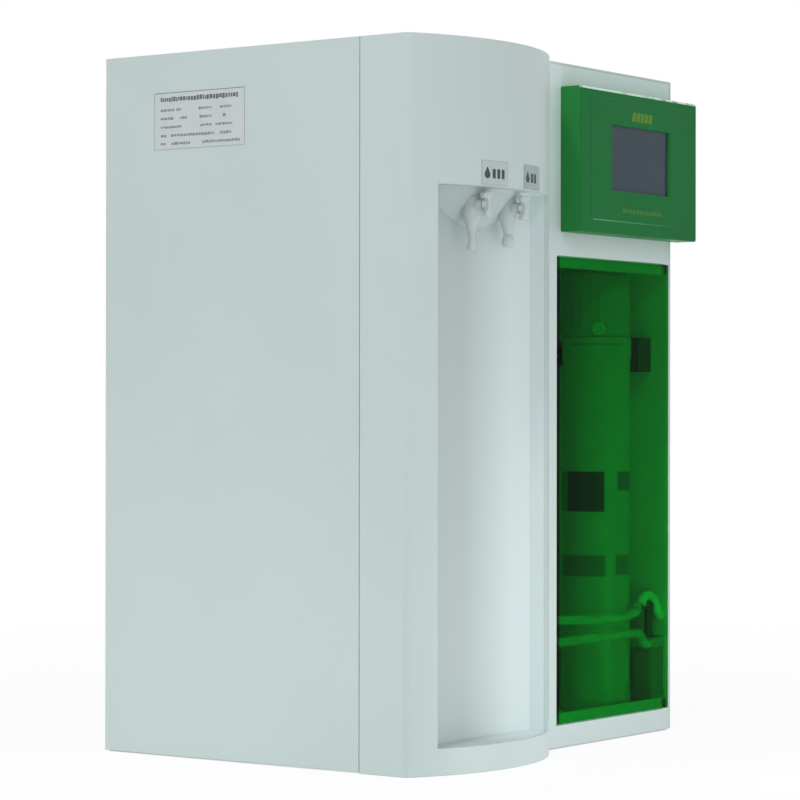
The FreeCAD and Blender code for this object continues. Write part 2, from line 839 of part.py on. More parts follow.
ports = []
for x in port_xs:
    outside = rod(port_r, (x, cabinet_back, port_z), (0, 1, 0), port_reach)
    inside = rod(port_r, (x, inner_back - port_inside, port_z), (0, 1, 0), port_inside + cover_thick)
    mouth = (x, cabinet_back + port_reach - port_bore_depth, port_z)
    fitting = outside.fuse(inside).removeSplitter()
    fitting = fitting.cut(rod(port_bore_r, mouth, (0, 1, 0), port_bore_depth + 1))
    inner_end = (x, inner_back - port_inside - 1, port_z)
    fitting = fitting.cut(rod(port_through_r, inner_end, (0, 1, 0), 2 * port_inside))
    ports.append(fitting)
    nut = hexagon(port_nut_across, (0, 0), 0, port_nut_thick)
    nut.rotate(Vector(0, 0, 0), Vector(1, 0, 0), -90)
    nut.translate(Vector(x, cabinet_back, port_z))
    nut = nut.cut(rod(port_r, (x, cabinet_back - 1, port_z), (0, 1, 0), 20))
    lock_nuts.append(nut)
nodes["water_ports"] = Part.Compound(ports)
nodes["lock_nuts"] = Part.Compound(lock_nuts)

inlet_flange = box(
    inlet_x - inlet_flange_half[0], inlet_x + inlet_flange_half[0], cabinet_back,
    cabinet_back + inlet_flange_thick, inlet_z - inlet_flange_half[1], inlet_z + inlet_flange_half[1],
)
inlet_body = box(
    inlet_x - inlet_half[0], inlet_x + inlet_half[0], inner_back - inlet_depth, cabinet_back,
    inlet_z - inlet_half[1], inlet_z + inlet_half[1],
)
inlet = inlet_flange.fuse(inlet_body).removeSplitter()
cavity_floor = cabinet_back + inlet_flange_thick - inlet_cavity[2]
inlet = inlet.cut(box(
    inlet_x - inlet_cavity[0] / 2, inlet_x + inlet_cavity[0] / 2, cavity_floor, cabinet_back + 5,
    inlet_z - inlet_cavity[1] / 2, inlet_z + inlet_cavity[1] / 2,
))
blades = []
for dx, dz in ((-7, -1.6), (7, -1.6), (0, 2.6)):
    blades.append(box(
        inlet_x + dx - 1, inlet_x + dx + 1, cavity_floor, cavity_floor + 14,
        inlet_z + dz - 2, inlet_z + dz + 2,
    ))
nodes["mains_inlet"] = join([inlet] + blades)

frame_flange = box(
    inlet_x - frame_half[0] - 3, inlet_x + frame_half[0] + 3, cabinet_back, cabinet_back + 1.8,
    rocker_z - frame_half[1] - 2, rocker_z + frame_half[1] + 2,
)
frame_body = box(
    inlet_x - frame_half[0], inlet_x + frame_half[0], inner_back - 16, cabinet_back,
    rocker_z - frame_half[1], rocker_z + frame_half[1],
)
rocker_frame = frame_flange.fuse(frame_body).removeSplitter()
well_x = rocker_half_x + rocker_gap
well_z = rocker_half_z + rocker_gap
rocker_frame = rocker_frame.cut(box(
    inlet_x - well_x, inlet_x + well_x, inner_back - 8, cabinet_back + 5,
    rocker_z - well_z, rocker_z + well_z,
))
rocker_pivot_y = cabinet_back - 1.5
pin_reach = rocker_half_x + 2.0
rocker_pin = rod(
    rocker_pin_r, (inlet_x - pin_reach, rocker_pivot_y, rocker_z), (1, 0, 0), 2 * pin_reach
)
pin_hole = rod(
    rocker_pin_r + plug_clearance, (inlet_x - pin_reach - 0.3, rocker_pivot_y, rocker_z),
    (1, 0, 0), 2 * pin_reach + 0.6,
)
nodes["rocker_frame"] = rocker_frame.cut(pin_hole)
rocker_face = [
    Vector(0, cabinet_back + 1.2, rocker_z), Vector(0, cabinet_back + 3.9, rocker_z + rocker_half_z - 1.2),
    Vector(0, cabinet_back - 2.5, rocker_z + rocker_half_z - 1.2), Vector(0, cabinet_back - 4.5, rocker_z),
    Vector(0, cabinet_back - 4.5, rocker_z - rocker_half_z + 1.6),
    Vector(0, cabinet_back + 0.2, rocker_z - rocker_half_z + 0.6),
]
rocker = Part.Face(Part.makePolygon(rocker_face + rocker_face[:1]))
rocker = rocker.extrude(Vector(2 * rocker_half_x, 0, 0))
rocker.translate(Vector(inlet_x - rocker_half_x, 0, 0))
nodes["power_rocker"] = join([rocker, rocker_pin])

fuse = join([
    rod(fuse_r, (fuse_x, inner_back - fuse_depth, inlet_z), (0, 1, 0), fuse_depth + cover_thick),
    rod(fuse_r + 2.5, (fuse_x, cabinet_back, inlet_z), (0, 1, 0), 7),
])
slot = box(fuse_x - 5, fuse_x + 5, cabinet_back + 5.5, cabinet_back + 8, inlet_z - 0.7, inlet_z + 0.7)
nodes["fuse_holder"] = fuse.cut(slot)

for x in (back_screw_inset, cabinet_width / 2, cabinet_width - back_screw_inset):
    for z in (back_screw_z, height / 2, height - back_screw_z):
        screws.append(rod(back_screw_r, (x, cabinet_back, z), (0, 1, 0), back_screw_head))
nodes["panel_screws"] = Part.Compound(screws)


# ---- rear compartment

nodes["partition"] = box(
    partition_x, partition_x + sheet, sheet, inner_back - sheet, sheet, inner_top
)

mz0, mz1 = membrane_z
nodes["membrane_housing"] = upright(membrane_r, membrane_at, mz0 + membrane_cap, mz1 - membrane_cap)
caps = []
for z0, z1 in ((mz0, mz0 + membrane_cap), (mz1 - membrane_cap, mz1)):
    caps.append(upright(membrane_r + cap_step, membrane_at, z0, z1))
nodes["membrane_end_caps"] = Part.Compound(caps)
fz0, fz1 = filter_z
nodes["sediment_filter"] = canister(sediment_at, filter_r, fz0, fz1, filter_round)
nodes["carbon_filter"] = canister(carbon_at, filter_r, fz0, fz1, filter_round)

brackets = []
for z in (fz0 + filter_bar_low, fz1 - filter_bar_high):
    z_end = z + filter_bar_height
    bar = box(filter_bar_x[0], filter_bar_x[1], filter_bar_y, inner_back, z, z_end)
    bar = bar.cut(upright(membrane_r, membrane_at, z, z_end))
    bar = bar.cut(upright(filter_r, sediment_at, z, z_end))
    bar = bar.cut(upright(filter_r, carbon_at, z, z_end))
    brackets.append(max(bar.Solids, key=lambda s: s.Volume))

rz0, rz1 = reactor_z
reactor = upright(reactor_r, reactor_at, rz0, rz1)
hollow = upright(reactor_r - reactor_wall, reactor_at, rz0 + reactor_wall, rz1 - reactor_wall)
nodes["uv_reactor"] = reactor.cut(hollow)
nodes["uv_lamp"] = upright(lamp_r, reactor_at, rz0 + reactor_wall, rz1 - reactor_wall)
for z in (rz0 + cradle_low, rz1 - cradle_high):
    z_end = z + cradle_height
    cradle = box(
        side_thick, reactor_at[0], reactor_at[1] - cradle_half, reactor_at[1] + cradle_half, z, z_end
    )
    brackets.append(cradle.cut(upright(reactor_r, reactor_at, z, z_end)))
nodes["inner_brackets"] = Part.Compound(brackets)

mx0, mx1 = motor_x
hx0, hx1 = head_x
motor = rod(motor_r, (mx0, pump_y, pump_axis_z), (1, 0, 0), mx1 - mx0)
nodes["booster_pump_motor"] = motor
nodes["booster_pump_head"] = box(
    hx0, hx1, pump_y - head_half, pump_y + head_half,
    pump_axis_z - head_half, pump_axis_z + head_half,
)
feet = []
for x in (mx0 + foot_inset, mx1 - foot_inset - foot_width):
    foot = box(x, x + foot_width, pump_y - foot_half, pump_y + foot_half, sheet, pump_axis_z - 10)
    feet.append(foot.cut(motor))
nodes["booster_pump_feet"] = Part.Compound(feet)
head_top = pump_axis_z + head_half
switch_at = ((hx0 + hx1) / 2, pump_y)
neck_top = head_top + switch_neck
nodes["pressure_switch"] = join([
    upright(switch_neck_r, switch_at, head_top, neck_top),
    upright(switch_r, switch_at, neck_top, neck_top + switch_height),
])
valves = []
for x in valve_xs:
    half_x, half_y = valve_coil_half
    coil = box(x - half_x, x + half_x, valve_y - half_y, valve_y + half_y, valve_base_top, valve_top)
    half_x, half_y = valve_base_half
    base = box(x - half_x, x + half_x, valve_y - half_y, valve_y + half_y, sheet, valve_base_top)
    valves.append(join([coil, base]))
nodes["solenoid_valves"] = Part.Compound(valves)
cells = [
    upright(cell_r, reactor_at, rz1, rz1 + cell_height),
    upright(cell_r, membrane_at, mz1, mz1 + cell_height),
]
nodes["conductivity_cells"] = Part.Compound(cells)

wall_x = partition_x + sheet
nodes["power_supply"] = box(
    wall_x + supply_margin, inner_right - supply_edge, supply_y[0], supply_y[1], sheet, supply_top
)
relay_posts = []
for y in (relay_y[0] + relay_inset, relay_y[1] - relay_inset):
    for z in (relay_z[0] + relay_inset, relay_z[1] - relay_inset):
        relay_posts.append(rod(3, (wall_x, y, z), (1, 0, 0), relay_stand))
board_x = wall_x + relay_stand
relay_x = board_x + relay_board_thick
relay = box(board_x, relay_x, relay_y[0], relay_y[1], relay_z[0], relay_z[1])
relays = []
for row in range(4):
    y = relay_y[0] + 18 + row * relay_pitch
    z = relay_z[0] + relay_rise
    relays.append(box(
        relay_x, relay_x + relay_size[0], y, y + relay_size[1], z, z + relay_size[2]
    ))
nodes["relay_board"] = join([relay] + relay_posts + relays)

port_end = inner_back - port_inside
port_start = [(x, port_end, port_z) for x in port_xs]
valve_l, valve_r = valve_xs
valve_side = valve_base_half[0]
low_z = valve_base_top / 2 - 1
head_z = pump_axis_z - 4
filter_link_z = fz1 + 32
tap_a, tap_b = tap_xs
cell_top_a = rz1 + cell_height
cell_top_b = mz1 + cell_height
feed_y = membrane_at[1] + 2
runs = [
    pipe([port_start[0], (port_xs[0], feed_y, port_z), (port_xs[0], feed_y, mz0)], tube_r),
    pipe([
        port_start[1], (port_xs[1], 196, port_z), (valve_l + 28, 170, low_z),
        (valve_l + 28, valve_y, low_z), (valve_l + valve_side, valve_y, low_z),
    ], tube_r, 6),
    pipe([
        port_start[2], (port_xs[2], sediment_at[1] + 2, port_z),
        (port_xs[2], sediment_at[1] + 2, fz0),
    ], tube_r),
    pipe([
        port_start[3], (port_xs[3], 206, port_z), (tower_width + 2, 170, low_z),
        (tower_width + 2, valve_y - 2, low_z), (valve_r + valve_side, valve_y - 2, low_z),
    ], tube_r, 8),
    pipe([
        (hx1, pump_y, head_z), (tower_width + 2, pump_y, head_z), (tower_width + 2, 180, head_z),
        (carbon_at[0], carbon_at[1] + 2, head_z), (carbon_at[0], carbon_at[1] + 2, fz0),
    ], tube_r, 7),
    pipe([
        (sediment_at[0], sediment_at[1], fz1), (sediment_at[0], sediment_at[1], filter_link_z),
        (carbon_at[0], carbon_at[1], filter_link_z), (carbon_at[0], carbon_at[1], fz1),
    ], tube_r),
    pipe([
        (tap_a, tap_y, tap_shank_top), (tap_a, tap_y, height - 50),
        (reactor_at[0], reactor_at[1], height - 90), (reactor_at[0], reactor_at[1], cell_top_a),
    ], tube_r),
    pipe([
        (tap_b, tap_y, tap_shank_top), (tap_b, tap_y, height - 30),
        (membrane_at[0], membrane_at[1], height - 60), (membrane_at[0], membrane_at[1], cell_top_b),
    ], tube_r),
]
nodes["water_tubes"] = Part.Compound(runs + bay_tubes)
mains = []
for side in (-1, 1):
    x = inlet_x + side * wire_offset
    mains.append(pipe([
        (x, inner_back - inlet_depth, inlet_z), (x, wire_turn_y, inlet_z), (x, wire_turn_y, supply_top),
    ], wire_r))
nodes["mains_wiring"] = Part.Compound(mains)


# ---- writing the nodes

x_middle = (console_right - trim_thick) / 2
y_middle = (bow_front + cabinet_back + port_reach) / 2
os.makedirs("parts", exist_ok=True)
for name, shape in nodes.items():
    shape = shape.copy()
    shape.translate(Vector(-x_middle, -y_middle, 0))
    shape.exportStep(os.path.join("parts", name + ".step"))
print(len(nodes), "nodes written")
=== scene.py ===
import math
import random

import bmesh
import bpy
from mathutils import Matrix, Vector


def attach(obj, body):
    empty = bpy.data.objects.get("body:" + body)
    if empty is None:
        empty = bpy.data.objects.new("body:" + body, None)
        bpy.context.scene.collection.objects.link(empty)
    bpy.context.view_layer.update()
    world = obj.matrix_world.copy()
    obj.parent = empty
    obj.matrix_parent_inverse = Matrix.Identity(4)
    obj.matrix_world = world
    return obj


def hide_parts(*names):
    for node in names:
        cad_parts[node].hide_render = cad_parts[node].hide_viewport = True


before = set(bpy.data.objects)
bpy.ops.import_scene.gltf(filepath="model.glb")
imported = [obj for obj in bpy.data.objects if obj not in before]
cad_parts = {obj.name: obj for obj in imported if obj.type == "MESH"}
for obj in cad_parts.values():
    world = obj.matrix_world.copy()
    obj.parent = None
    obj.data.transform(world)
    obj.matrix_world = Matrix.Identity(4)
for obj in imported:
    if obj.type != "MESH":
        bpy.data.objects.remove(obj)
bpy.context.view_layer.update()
print("frame loaded")

# Sizes below are in millimetres on the maker's drawing: x from the left side panel, y from the
# joint behind the tower, z from the bench. spot() turns them into the scene's metres.
sheetOrigin = (221.05, 102.9)
mm = 0.001
panelFront = -36.0  # outer face of the right front panel
rearFace = 268.0  # outer face of the rear panel
doorSpan = (238.5, 426.2)  # left and right edge of the door sheet
cartridgeAt = (376.0, 11.0)  # middle of the polishing cartridge


def spot(x, y, z):
    return Vector((x - sheetOrigin[0], y - sheetOrigin[1], z)) * mm


def onAxis(axis, value):
    # one place along x, y or z of the drawing, in the scene's metres
    origin = {"x": sheetOrigin[0], "y": sheetOrigin[1], "z": 0.0}[axis]
    return (value - origin) * mm


def tone(red, green, blue):
    # a colour as it is read from a swatch, 0 to 255
    return tuple(((c / 255 + 0.055) / 1.055) ** 2.4 if c > 10 else c / 255 / 12.92
                 for c in (red, green, blue)) + (1.0,)


# ---- camera

cameraSettings = {
    "place": (-2.1161, -1.4956, 0.2900),
    "heading": 54.485,  # degrees from straight ahead, to the right
    "tilt": 0.217,
    "roll": 0.066,
    "lens": 132.3,
}


def makeCamera(s):
    data = bpy.data.cameras.new("viewCamera")
    data.lens = s["lens"]
    data.sensor_width = 36
    data.clip_start = 0.05
    data.clip_end = 60
    camera = bpy.data.objects.new("viewCamera", data)
    bpy.context.scene.collection.objects.link(camera)
    yaw, tilt, roll = (math.radians(s[k]) for k in ("heading", "tilt", "roll"))
    ahead = Vector((math.sin(yaw) * math.cos(tilt), math.cos(yaw) * math.cos(tilt), math.sin(tilt)))
    side = Vector((math.cos(yaw), -math.sin(yaw), 0))
    up = side.cross(ahead)
    right = side * math.cos(roll) + up * math.sin(roll)
    above = up * math.cos(roll) - side * math.sin(roll)
    turn = Matrix((right, above, -ahead)).transposed().to_4x4()
    camera.matrix_world = Matrix.Translation(Vector(s["place"])) @ turn
    bpy.context.scene.camera = camera


makeCamera(cameraSettings)
print("camera placed")


# ---- finishes

class Finish:
    # one material, built node by node; place is the surface's own position in metres
    def __init__(self, name):
        self.material = bpy.data.materials.new(name)
        self.material.use_nodes = True
        self.tree = self.material.node_tree
        self.tree.nodes.clear()
        self.out = self.tree.nodes.new("ShaderNodeOutputMaterial")
        self.shader = self.tree.nodes.new("ShaderNodeBsdfPrincipled")
        self.tree.links.new(self.shader.outputs[0], self.out.inputs[0])
        self.place = self.add("ShaderNodeTexCoord").outputs["Object"]

    def put(self, socket, value):
        if isinstance(value, bpy.types.NodeSocket):
            self.tree.links.new(value, socket)
        else:
            socket.default_value = value

    def add(self, kind, inputs=None, **settings):
        node = self.tree.nodes.new(kind)
        for key, value in settings.items():
            setattr(node, key, value)
        for key, value in (inputs or {}).items():
            self.put(node.inputs[key], value)
        return node

    def set(self, **values):
        names = {"colour": "Base Color", "rough": "Roughness", "metal": "Metallic", "ior": "IOR",
                 "bump": "Normal", "coat": "Coat Weight", "coatRough": "Coat Roughness",
                 "clear": "Transmission Weight", "gloss": "Specular IOR Level"}
        for key, value in values.items():
            self.put(self.shader.inputs[names[key]], value)

    def times(self, a, b):
        return self.add("ShaderNodeMath", {0: a, 1: b}, operation="MULTIPLY").outputs[0]

    def greater(self, a, b):
        return self.add("ShaderNodeMath", {0: a, 1: b}, operation="MAXIMUM").outputs[0]

    def remap(self, value, low, high, newLow=0.0, newHigh=1.0):
        return self.add("ShaderNodeMapRange", {0: value, 1: low, 2: high, 3: newLow, 4: newHigh}).outputs[0]

    def noise(self, scale, detail, stretch=(1, 1, 1)):
        shift = self.add("ShaderNodeMapping", {"Vector": self.place, "Scale": stretch})
        return self.add("ShaderNodeTexNoise", {"Vector": shift.outputs[0], "Scale": scale,
                                               "Detail": detail}).outputs[0]

    def blend(self, amount, first, second):
        node = self.add("ShaderNodeMix", data_type="RGBA")
        for index, value in ((0, amount), (6, first), (7, second)):
            self.put(node.inputs[index], value)
        return node.outputs[2]

    def bump(self, height, strength, distance, normal=None):
        inputs = {"Height": height, "Strength": strength, "Distance": distance}
        if normal is not None:
            inputs["Normal"] = normal
        return self.add("ShaderNodeBump", inputs).outputs[0]

    def softEdge(self, radius):
        return self.add("ShaderNodeBevel", {"Radius": radius}, samples=4).outputs[0]

    def edgeMask(self, soft):
        # 1 along the rounded edges, 0 on the flats
        flat = self.add("ShaderNodeNewGeometry").outputs["Normal"]
        dot = self.add("ShaderNodeVectorMath", {0: soft, 1: flat}, operation="DOT_PRODUCT").outputs["Value"]
        return self.remap(dot, 0.995, 0.80)

    def axis(self, name):
        return self.add("ShaderNodeSeparateXYZ", {0: self.place}).outputs["xyz".index(name)]

    def ramp(self, axis, low, high):
        # 0 at one place along the drawing's axis, 1 at the other
        return self.remap(self.axis(axis), onAxis(axis, low), onAxis(axis, high))

    def band(self, value, low, high, soft=0.0004):
        # 1 between low and high, in metres
        up = self.remap(value, low - soft, low + soft)
        down = self.remap(value, high - soft, high + soft, 1.0, 0.0)
        return self.times(up, down)

    def stripe(self, axis, low, high, soft):
        # 1 between two places along the drawing's axis
        return self.band(self.axis(axis), onAxis(axis, low), onAxis(axis, high), soft * mm)


def coatedFinish(name, s):
    # painted sheet or moulded plastic: faint colour drift, grain, rubbed edges
    f = Finish(name)
    drift = f.noise(s.get("driftScale", 6), 3)
    colour = f.blend(f.remap(drift, 0.3, 0.7), s["colour"], s["second"])
    if "fade" in s:
        axis, low, high, other = s["fade"]
        colour = f.blend(f.ramp(axis, low, high), colour, other)
    soft = f.softEdge(s["edge"])
    broken = f.times(f.edgeMask(soft), f.remap(f.noise(220, 3), 0.42, 0.6))
    colour = f.blend(f.times(broken, s.get("wear", 0.25)), colour, s["worn"])
    smear = f.noise(s.get("smearScale", 24), 4)
    swing = s.get("roughSwing", 0.05)
    rough = f.remap(smear, 0.3, 0.75, s["rough"] - swing, s["rough"] + swing)
    grain = f.bump(f.noise(s["grainScale"], 2), s["grain"], s.get("grainDepth", 0.0002), soft)
    if "wave" in s:
        grain = f.bump(f.noise(s["waveScale"], 1, s["waveStretch"]), s["wave"], 0.004, grain)
    f.set(colour=colour, rough=rough, bump=grain, gloss=s.get("gloss", 0.5))
    if "coat" in s:
        f.set(coat=s["coat"], coatRough=0.1)
    return f.material


def metalFinish(name, s):
    # drawn or brushed metal with streaks along one axis
    f = Finish(name)
    streak = f.noise(s["streakScale"], 3, s["stretch"])
    colour = f.blend(f.remap(streak, 0.3, 0.7), s["colour"], s["second"])
    rough = f.remap(f.noise(30, 3), 0.3, 0.7, s["rough"] - 0.06, s["rough"] + 0.08)
    f.set(colour=colour, rough=rough, metal=1.0, bump=f.bump(streak, 0.12, 0.0002, f.softEdge(0.0004)))
    return f.material


# "fade" blends to another colour along one axis of the drawing, from one place to the next; on the niche
# liner and the front panel the fade is painted light
sheetPaint = {
    "rough": 0.44, "grainScale": 1500, "grain": 0.10, "grainDepth": 0.00012, "edge": 0.0008, "wave": 0.03,
    "waveScale": 4, "waveStretch": (1, 1, 0.4), "gloss": 0.4, "wear": 0.15,
}
coatedSettings = {
    "shell_white": {"colour": tone(200, 214, 212), "second": tone(204, 217, 215), "worn": tone(220, 228, 227),
                    "rough": 0.42, "grainScale": 900, "grain": 0.04, "edge": 0.0012, "wear": 0.1,
                    "wave": 0.02, "waveScale": 7, "waveStretch": (1, 1, 0.35), "roughSwing": 0.03,
                    "gloss": 0.4},
    "liner_white": {"colour": tone(188, 200, 199), "second": tone(192, 203, 202), "worn": tone(214, 221, 220),
                    # the liner turns lighter towards the right: painted light where light from the left
                    # reaches past the niche's left lip
                    "fade": ("x", 91.05, 155.05, tone(217, 229, 229)),
                    "rough": 0.48, "grainScale": 700, "grain": 0.02, "edge": 0.0006, "wear": 0.0,
                    "smearScale": 6, "roughSwing": 0.02, "gloss": 0.3, "driftScale": 3},
    "panel_white": {"colour": tone(200, 214, 213), "second": tone(204, 217, 216), "worn": tone(222, 229, 228),
                    **sheetPaint},
    # a lighter copy of the panel paint that grows lighter towards the top: painted light on the front faces
    "front_white_painted_light": {"colour": tone(208, 222, 221), "second": tone(212, 225, 224), "worn": tone(224, 231, 230),
                    "fade": ("z", 450.0, 560.0, tone(221, 236, 235)), **sheetPaint},
    "inner_sheet": {"colour": tone(190, 195, 192), "second": tone(186, 191, 188), "worn": tone(226, 229, 228),
                    "fade": ("y", -26.6, -24.1, tone(248, 249, 248)),
                    "rough": 0.5, "grainScale": 1300, "grain": 0.06, "edge": 0.0008, "gloss": 0.3},
    "catch_black": {"colour": tone(57, 55, 60), "second": tone(64, 62, 67), "worn": tone(98, 97, 101),
                    "rough": 0.42, "grainScale": 1600, "grain": 0.10, "edge": 0.0006, "wear": 0.5},
    "cartridge_white": {"colour": tone(221, 226, 224), "second": tone(229, 233, 231),
                        "worn": tone(240, 242, 241), "rough": 0.30, "grainScale": 800, "grain": 0.03,
                        "edge": 0.0010, "coat": 0.3},
    "cartridge_cap": {"colour": tone(140, 147, 148), "second": tone(147, 154, 155),
                      "worn": tone(168, 173, 174), "rough": 0.40, "grainScale": 1200, "grain": 0.08,
                      "edge": 0.0010, "wear": 0.4},
    "tap_white": {"colour": tone(198, 207, 207), "second": tone(203, 211, 211), "worn": tone(220, 225, 225),
                  "rough": 0.28, "grainScale": 500, "grain": 0.02, "edge": 0.0005, "coat": 0.1},
    "motor_paint": {"colour": tone(56, 58, 61), "second": tone(66, 68, 71), "worn": tone(140, 142, 144),
                    "rough": 0.38, "grainScale": 900, "grain": 0.15, "edge": 0.0008, "wear": 0.4},
    "pump_plastic": {"colour": tone(45, 46, 49), "second": tone(54, 55, 58), "worn": tone(100, 101, 104),
                     "rough": 0.46, "grainScale": 1400, "grain": 0.12, "edge": 0.0007, "wear": 0.4},
    "pump_grey": {"colour": tone(110, 117, 117), "second": tone(118, 125, 125), "worn": tone(142, 147, 147),
                  "rough": 0.46, "grainScale": 1400, "grain": 0.12, "edge": 0.0007, "wear": 0.3,
                  "fade": ("z", 75.7, 76.3, tone(150, 158, 155))},
    "spout_grey": {"colour": tone(176, 186, 182), "second": tone(182, 191, 188), "worn": tone(200, 206, 204),
                   "rough": 0.35, "grainScale": 800, "grain": 0.03, "edge": 0.0008},
    "rubber_black": {"colour": tone(34, 34, 35), "second": tone(44, 44, 45), "worn": tone(84, 84, 85),
                     "rough": 0.75, "grainScale": 1100, "grain": 0.2, "edge": 0.001, "gloss": 0.3},
    "wire_black": {"colour": tone(36, 36, 38), "second": tone(45, 45, 47), "worn": tone(80, 80, 82),
                   "rough": 0.5, "grainScale": 1500, "grain": 0.1, "edge": 0.0003},
    "board_green": {"colour": tone(22, 88, 48), "second": tone(28, 104, 58), "worn": tone(150, 150, 96),
                    "rough": 0.35, "grainScale": 260, "grain": 0.25, "edge": 0.0003, "driftScale": 90},
}
metalSettings = {
    "bare_steel": {"colour": tone(178, 180, 182), "second": tone(196, 198, 199), "rough": 0.38,
                   "streakScale": 60, "stretch": (1, 1, 24)},
    "uv_steel": {"colour": tone(196, 198, 200), "second": tone(214, 215, 217), "rough": 0.18,
                 "streakScale": 50, "stretch": (20, 20, 1)},
    "bright_steel": {"colour": tone(188, 189, 190), "second": tone(206, 207, 208), "rough": 0.24,
                     "streakScale": 300, "stretch": (1, 6, 1)},
    "pin_steel": {"colour": tone(84, 90, 87), "second": tone(94, 100, 97), "rough": 0.5,
                  "streakScale": 300, "stretch": (1, 1, 6)},
    "module_metal": {"colour": tone(176, 178, 180), "second": tone(190, 192, 194), "rough": 0.34,
                     "streakScale": 80, "stretch": (18, 1, 1)},
    "supply_metal": {"colour": tone(190, 192, 193), "second": tone(204, 205, 206), "rough": 0.32,
                     "streakScale": 70, "stretch": (1, 20, 1)},
}
finishes = {name: coatedFinish(name, s) for name, s in coatedSettings.items()}
finishes.update({name: metalFinish(name, s) for name, s in metalSettings.items()})


consoleSettings = {
    "colour": tone(29, 112, 56), "second": tone(32, 117, 59), "rough": (0.30, 0.42), "gloss": 0.04,
    # the sides, top and foot are painted lighter than the front: painted light
    "side": tone(44, 131, 64), "litSidesFrom": -55.3,
    # rim is a painted highlight along the top front edge
    "rim": tone(216, 246, 226), "highlightHeight": 567.9, "highlightBack": -54.5,
    # a painted highlight line along the foot of the front film, fading to the right
    "line": tone(104, 176, 126), "glintAt": (455.4, 456.3), "glintStart": (263.05, 265.05),
    "glintFade": (406.05, 261.05),
}


def consoleFinish(s):
    # moulded green plastic with painted light: the sides painted lighter than the front, a painted
    # highlight along the top front edge and a painted highlight line at the foot of the front film, which
    # fades to the right
    f = Finish("console_green")
    colour = f.blend(f.remap(f.noise(9, 3), 0.3, 0.7), s["colour"], s["second"])
    # painted light: every face behind the front is lighter
    colour = f.blend(f.ramp("y", s["litSidesFrom"] - 0.2, s["litSidesFrom"] + 0.2), colour, s["side"])
    # painted highlight along the top front edge, broken up by noise
    topHighlight = f.ramp("z", s["highlightHeight"] - 0.2, s["highlightHeight"] + 0.2)
    frontSide = f.ramp("y", s["highlightBack"], s["highlightBack"] - 0.4)
    broken = f.remap(f.noise(70, 3), 0.35, 0.5, 0.45, 1.0)
    colour = f.blend(f.times(f.times(topHighlight, frontSide), broken), colour, s["rim"])
    # painted highlight along the film's lower edge
    line = f.times(f.stripe("z", *s["glintAt"], 0.2), f.ramp("x", *s["glintFade"]))
    line = f.times(line, f.ramp("x", *s["glintStart"]))
    colour = f.blend(line, colour, s["line"])
    f.set(colour=colour, rough=f.remap(f.noise(24, 4), 0.3, 0.75, *s["rough"]), gloss=s["gloss"],
          bump=f.bump(f.noise(1100, 2), 0.04, 0.0002, f.softEdge(0.0006)))
    return f.material


finishes["console_green"] = consoleFinish(consoleSettings)


def clearFinish(name, s):
    # tinted or milky clear plastic that also lets the lamps through
    f = Finish(name)
    drift = f.noise(s.get("driftScale", 9), 2)
    colour = f.blend(f.remap(drift, 0.3, 0.7), s["colour"], s["second"])
    rough = f.remap(f.noise(160, 4), 0.45, 0.75, s["rough"], s["rough"] + s.get("roughSwing", 0.05))
    if "edges" in s:
        # painted shade along the sheet's left cut edge, a painted highlight along the right one
        left, right = s["edges"]
        dark = f.ramp("x", left + s["shadeWidth"][1], left + s["shadeWidth"][0])
        pale = f.ramp("x", right - s["highlightWidth"][1], right - s["highlightWidth"][0])
        colour = f.blend(f.times(dark, 0.95), colour, s["dark"])
        colour = f.blend(f.times(pale, 0.6), colour, s["pale"])
    f.set(colour=colour, rough=rough, ior=s.get("ior", 1.49), clear=s.get("clear", 1.0),
          gloss=s.get("gloss", 0.5), bump=f.bump(drift, s.get("wave", 0.05), 0.001))
    through = f.add("ShaderNodeBsdfTransparent", {"Color": s["lamp"]})
    path = f.add("ShaderNodeLightPath")
    pick = f.add("ShaderNodeMixShader", {0: path.outputs["Is Shadow Ray"], 1: f.shader.outputs[0],
                                         2: through.outputs[0]})
    f.tree.links.new(pick.outputs[0], f.out.inputs[0])
    return f.material


clearSettings = {
    "door_green": {"colour": tone(29, 190, 105), "second": tone(25, 184, 100), "lamp": tone(150, 245, 165),
                   "rough": 0.015, "roughSwing": 0.03, "wave": 0.04, "driftScale": 5, "ior": 1.07,
                   # dark and pale: painted shade along the sheet's left edge, painted highlight along its
                   # right edge
                   "edges": doorSpan, "dark": tone(6, 26, 30), "shadeWidth": (3.0, 4.4),
                   "pale": tone(60, 220, 90), "highlightWidth": (1.2, 2.6)},
    "tap_plastic": {"colour": tone(212, 221, 221), "second": tone(217, 225, 225), "lamp": tone(206, 213, 213),
                    "rough": 0.40, "clear": 0.15, "driftScale": 60, "wave": 0.10, "gloss": 0.3},
    "tube_clear": {"colour": tone(226, 236, 231), "second": tone(232, 240, 236), "lamp": tone(235, 240, 238),
                   "rough": 0.10, "clear": 0.7, "driftScale": 40},
    "lamp_glass": {"colour": tone(236, 240, 246), "second": tone(240, 243, 248), "lamp": tone(240, 243, 248),
                   "rough": 0.03},
}
finishes.update({name: clearFinish(name, s) for name, s in clearSettings.items()})


screenSettings = {"glass": tone(64, 76, 88), "lower": tone(55, 70, 80), "speck": tone(84, 94, 108),
                  "span": (483.0, 540.0)}


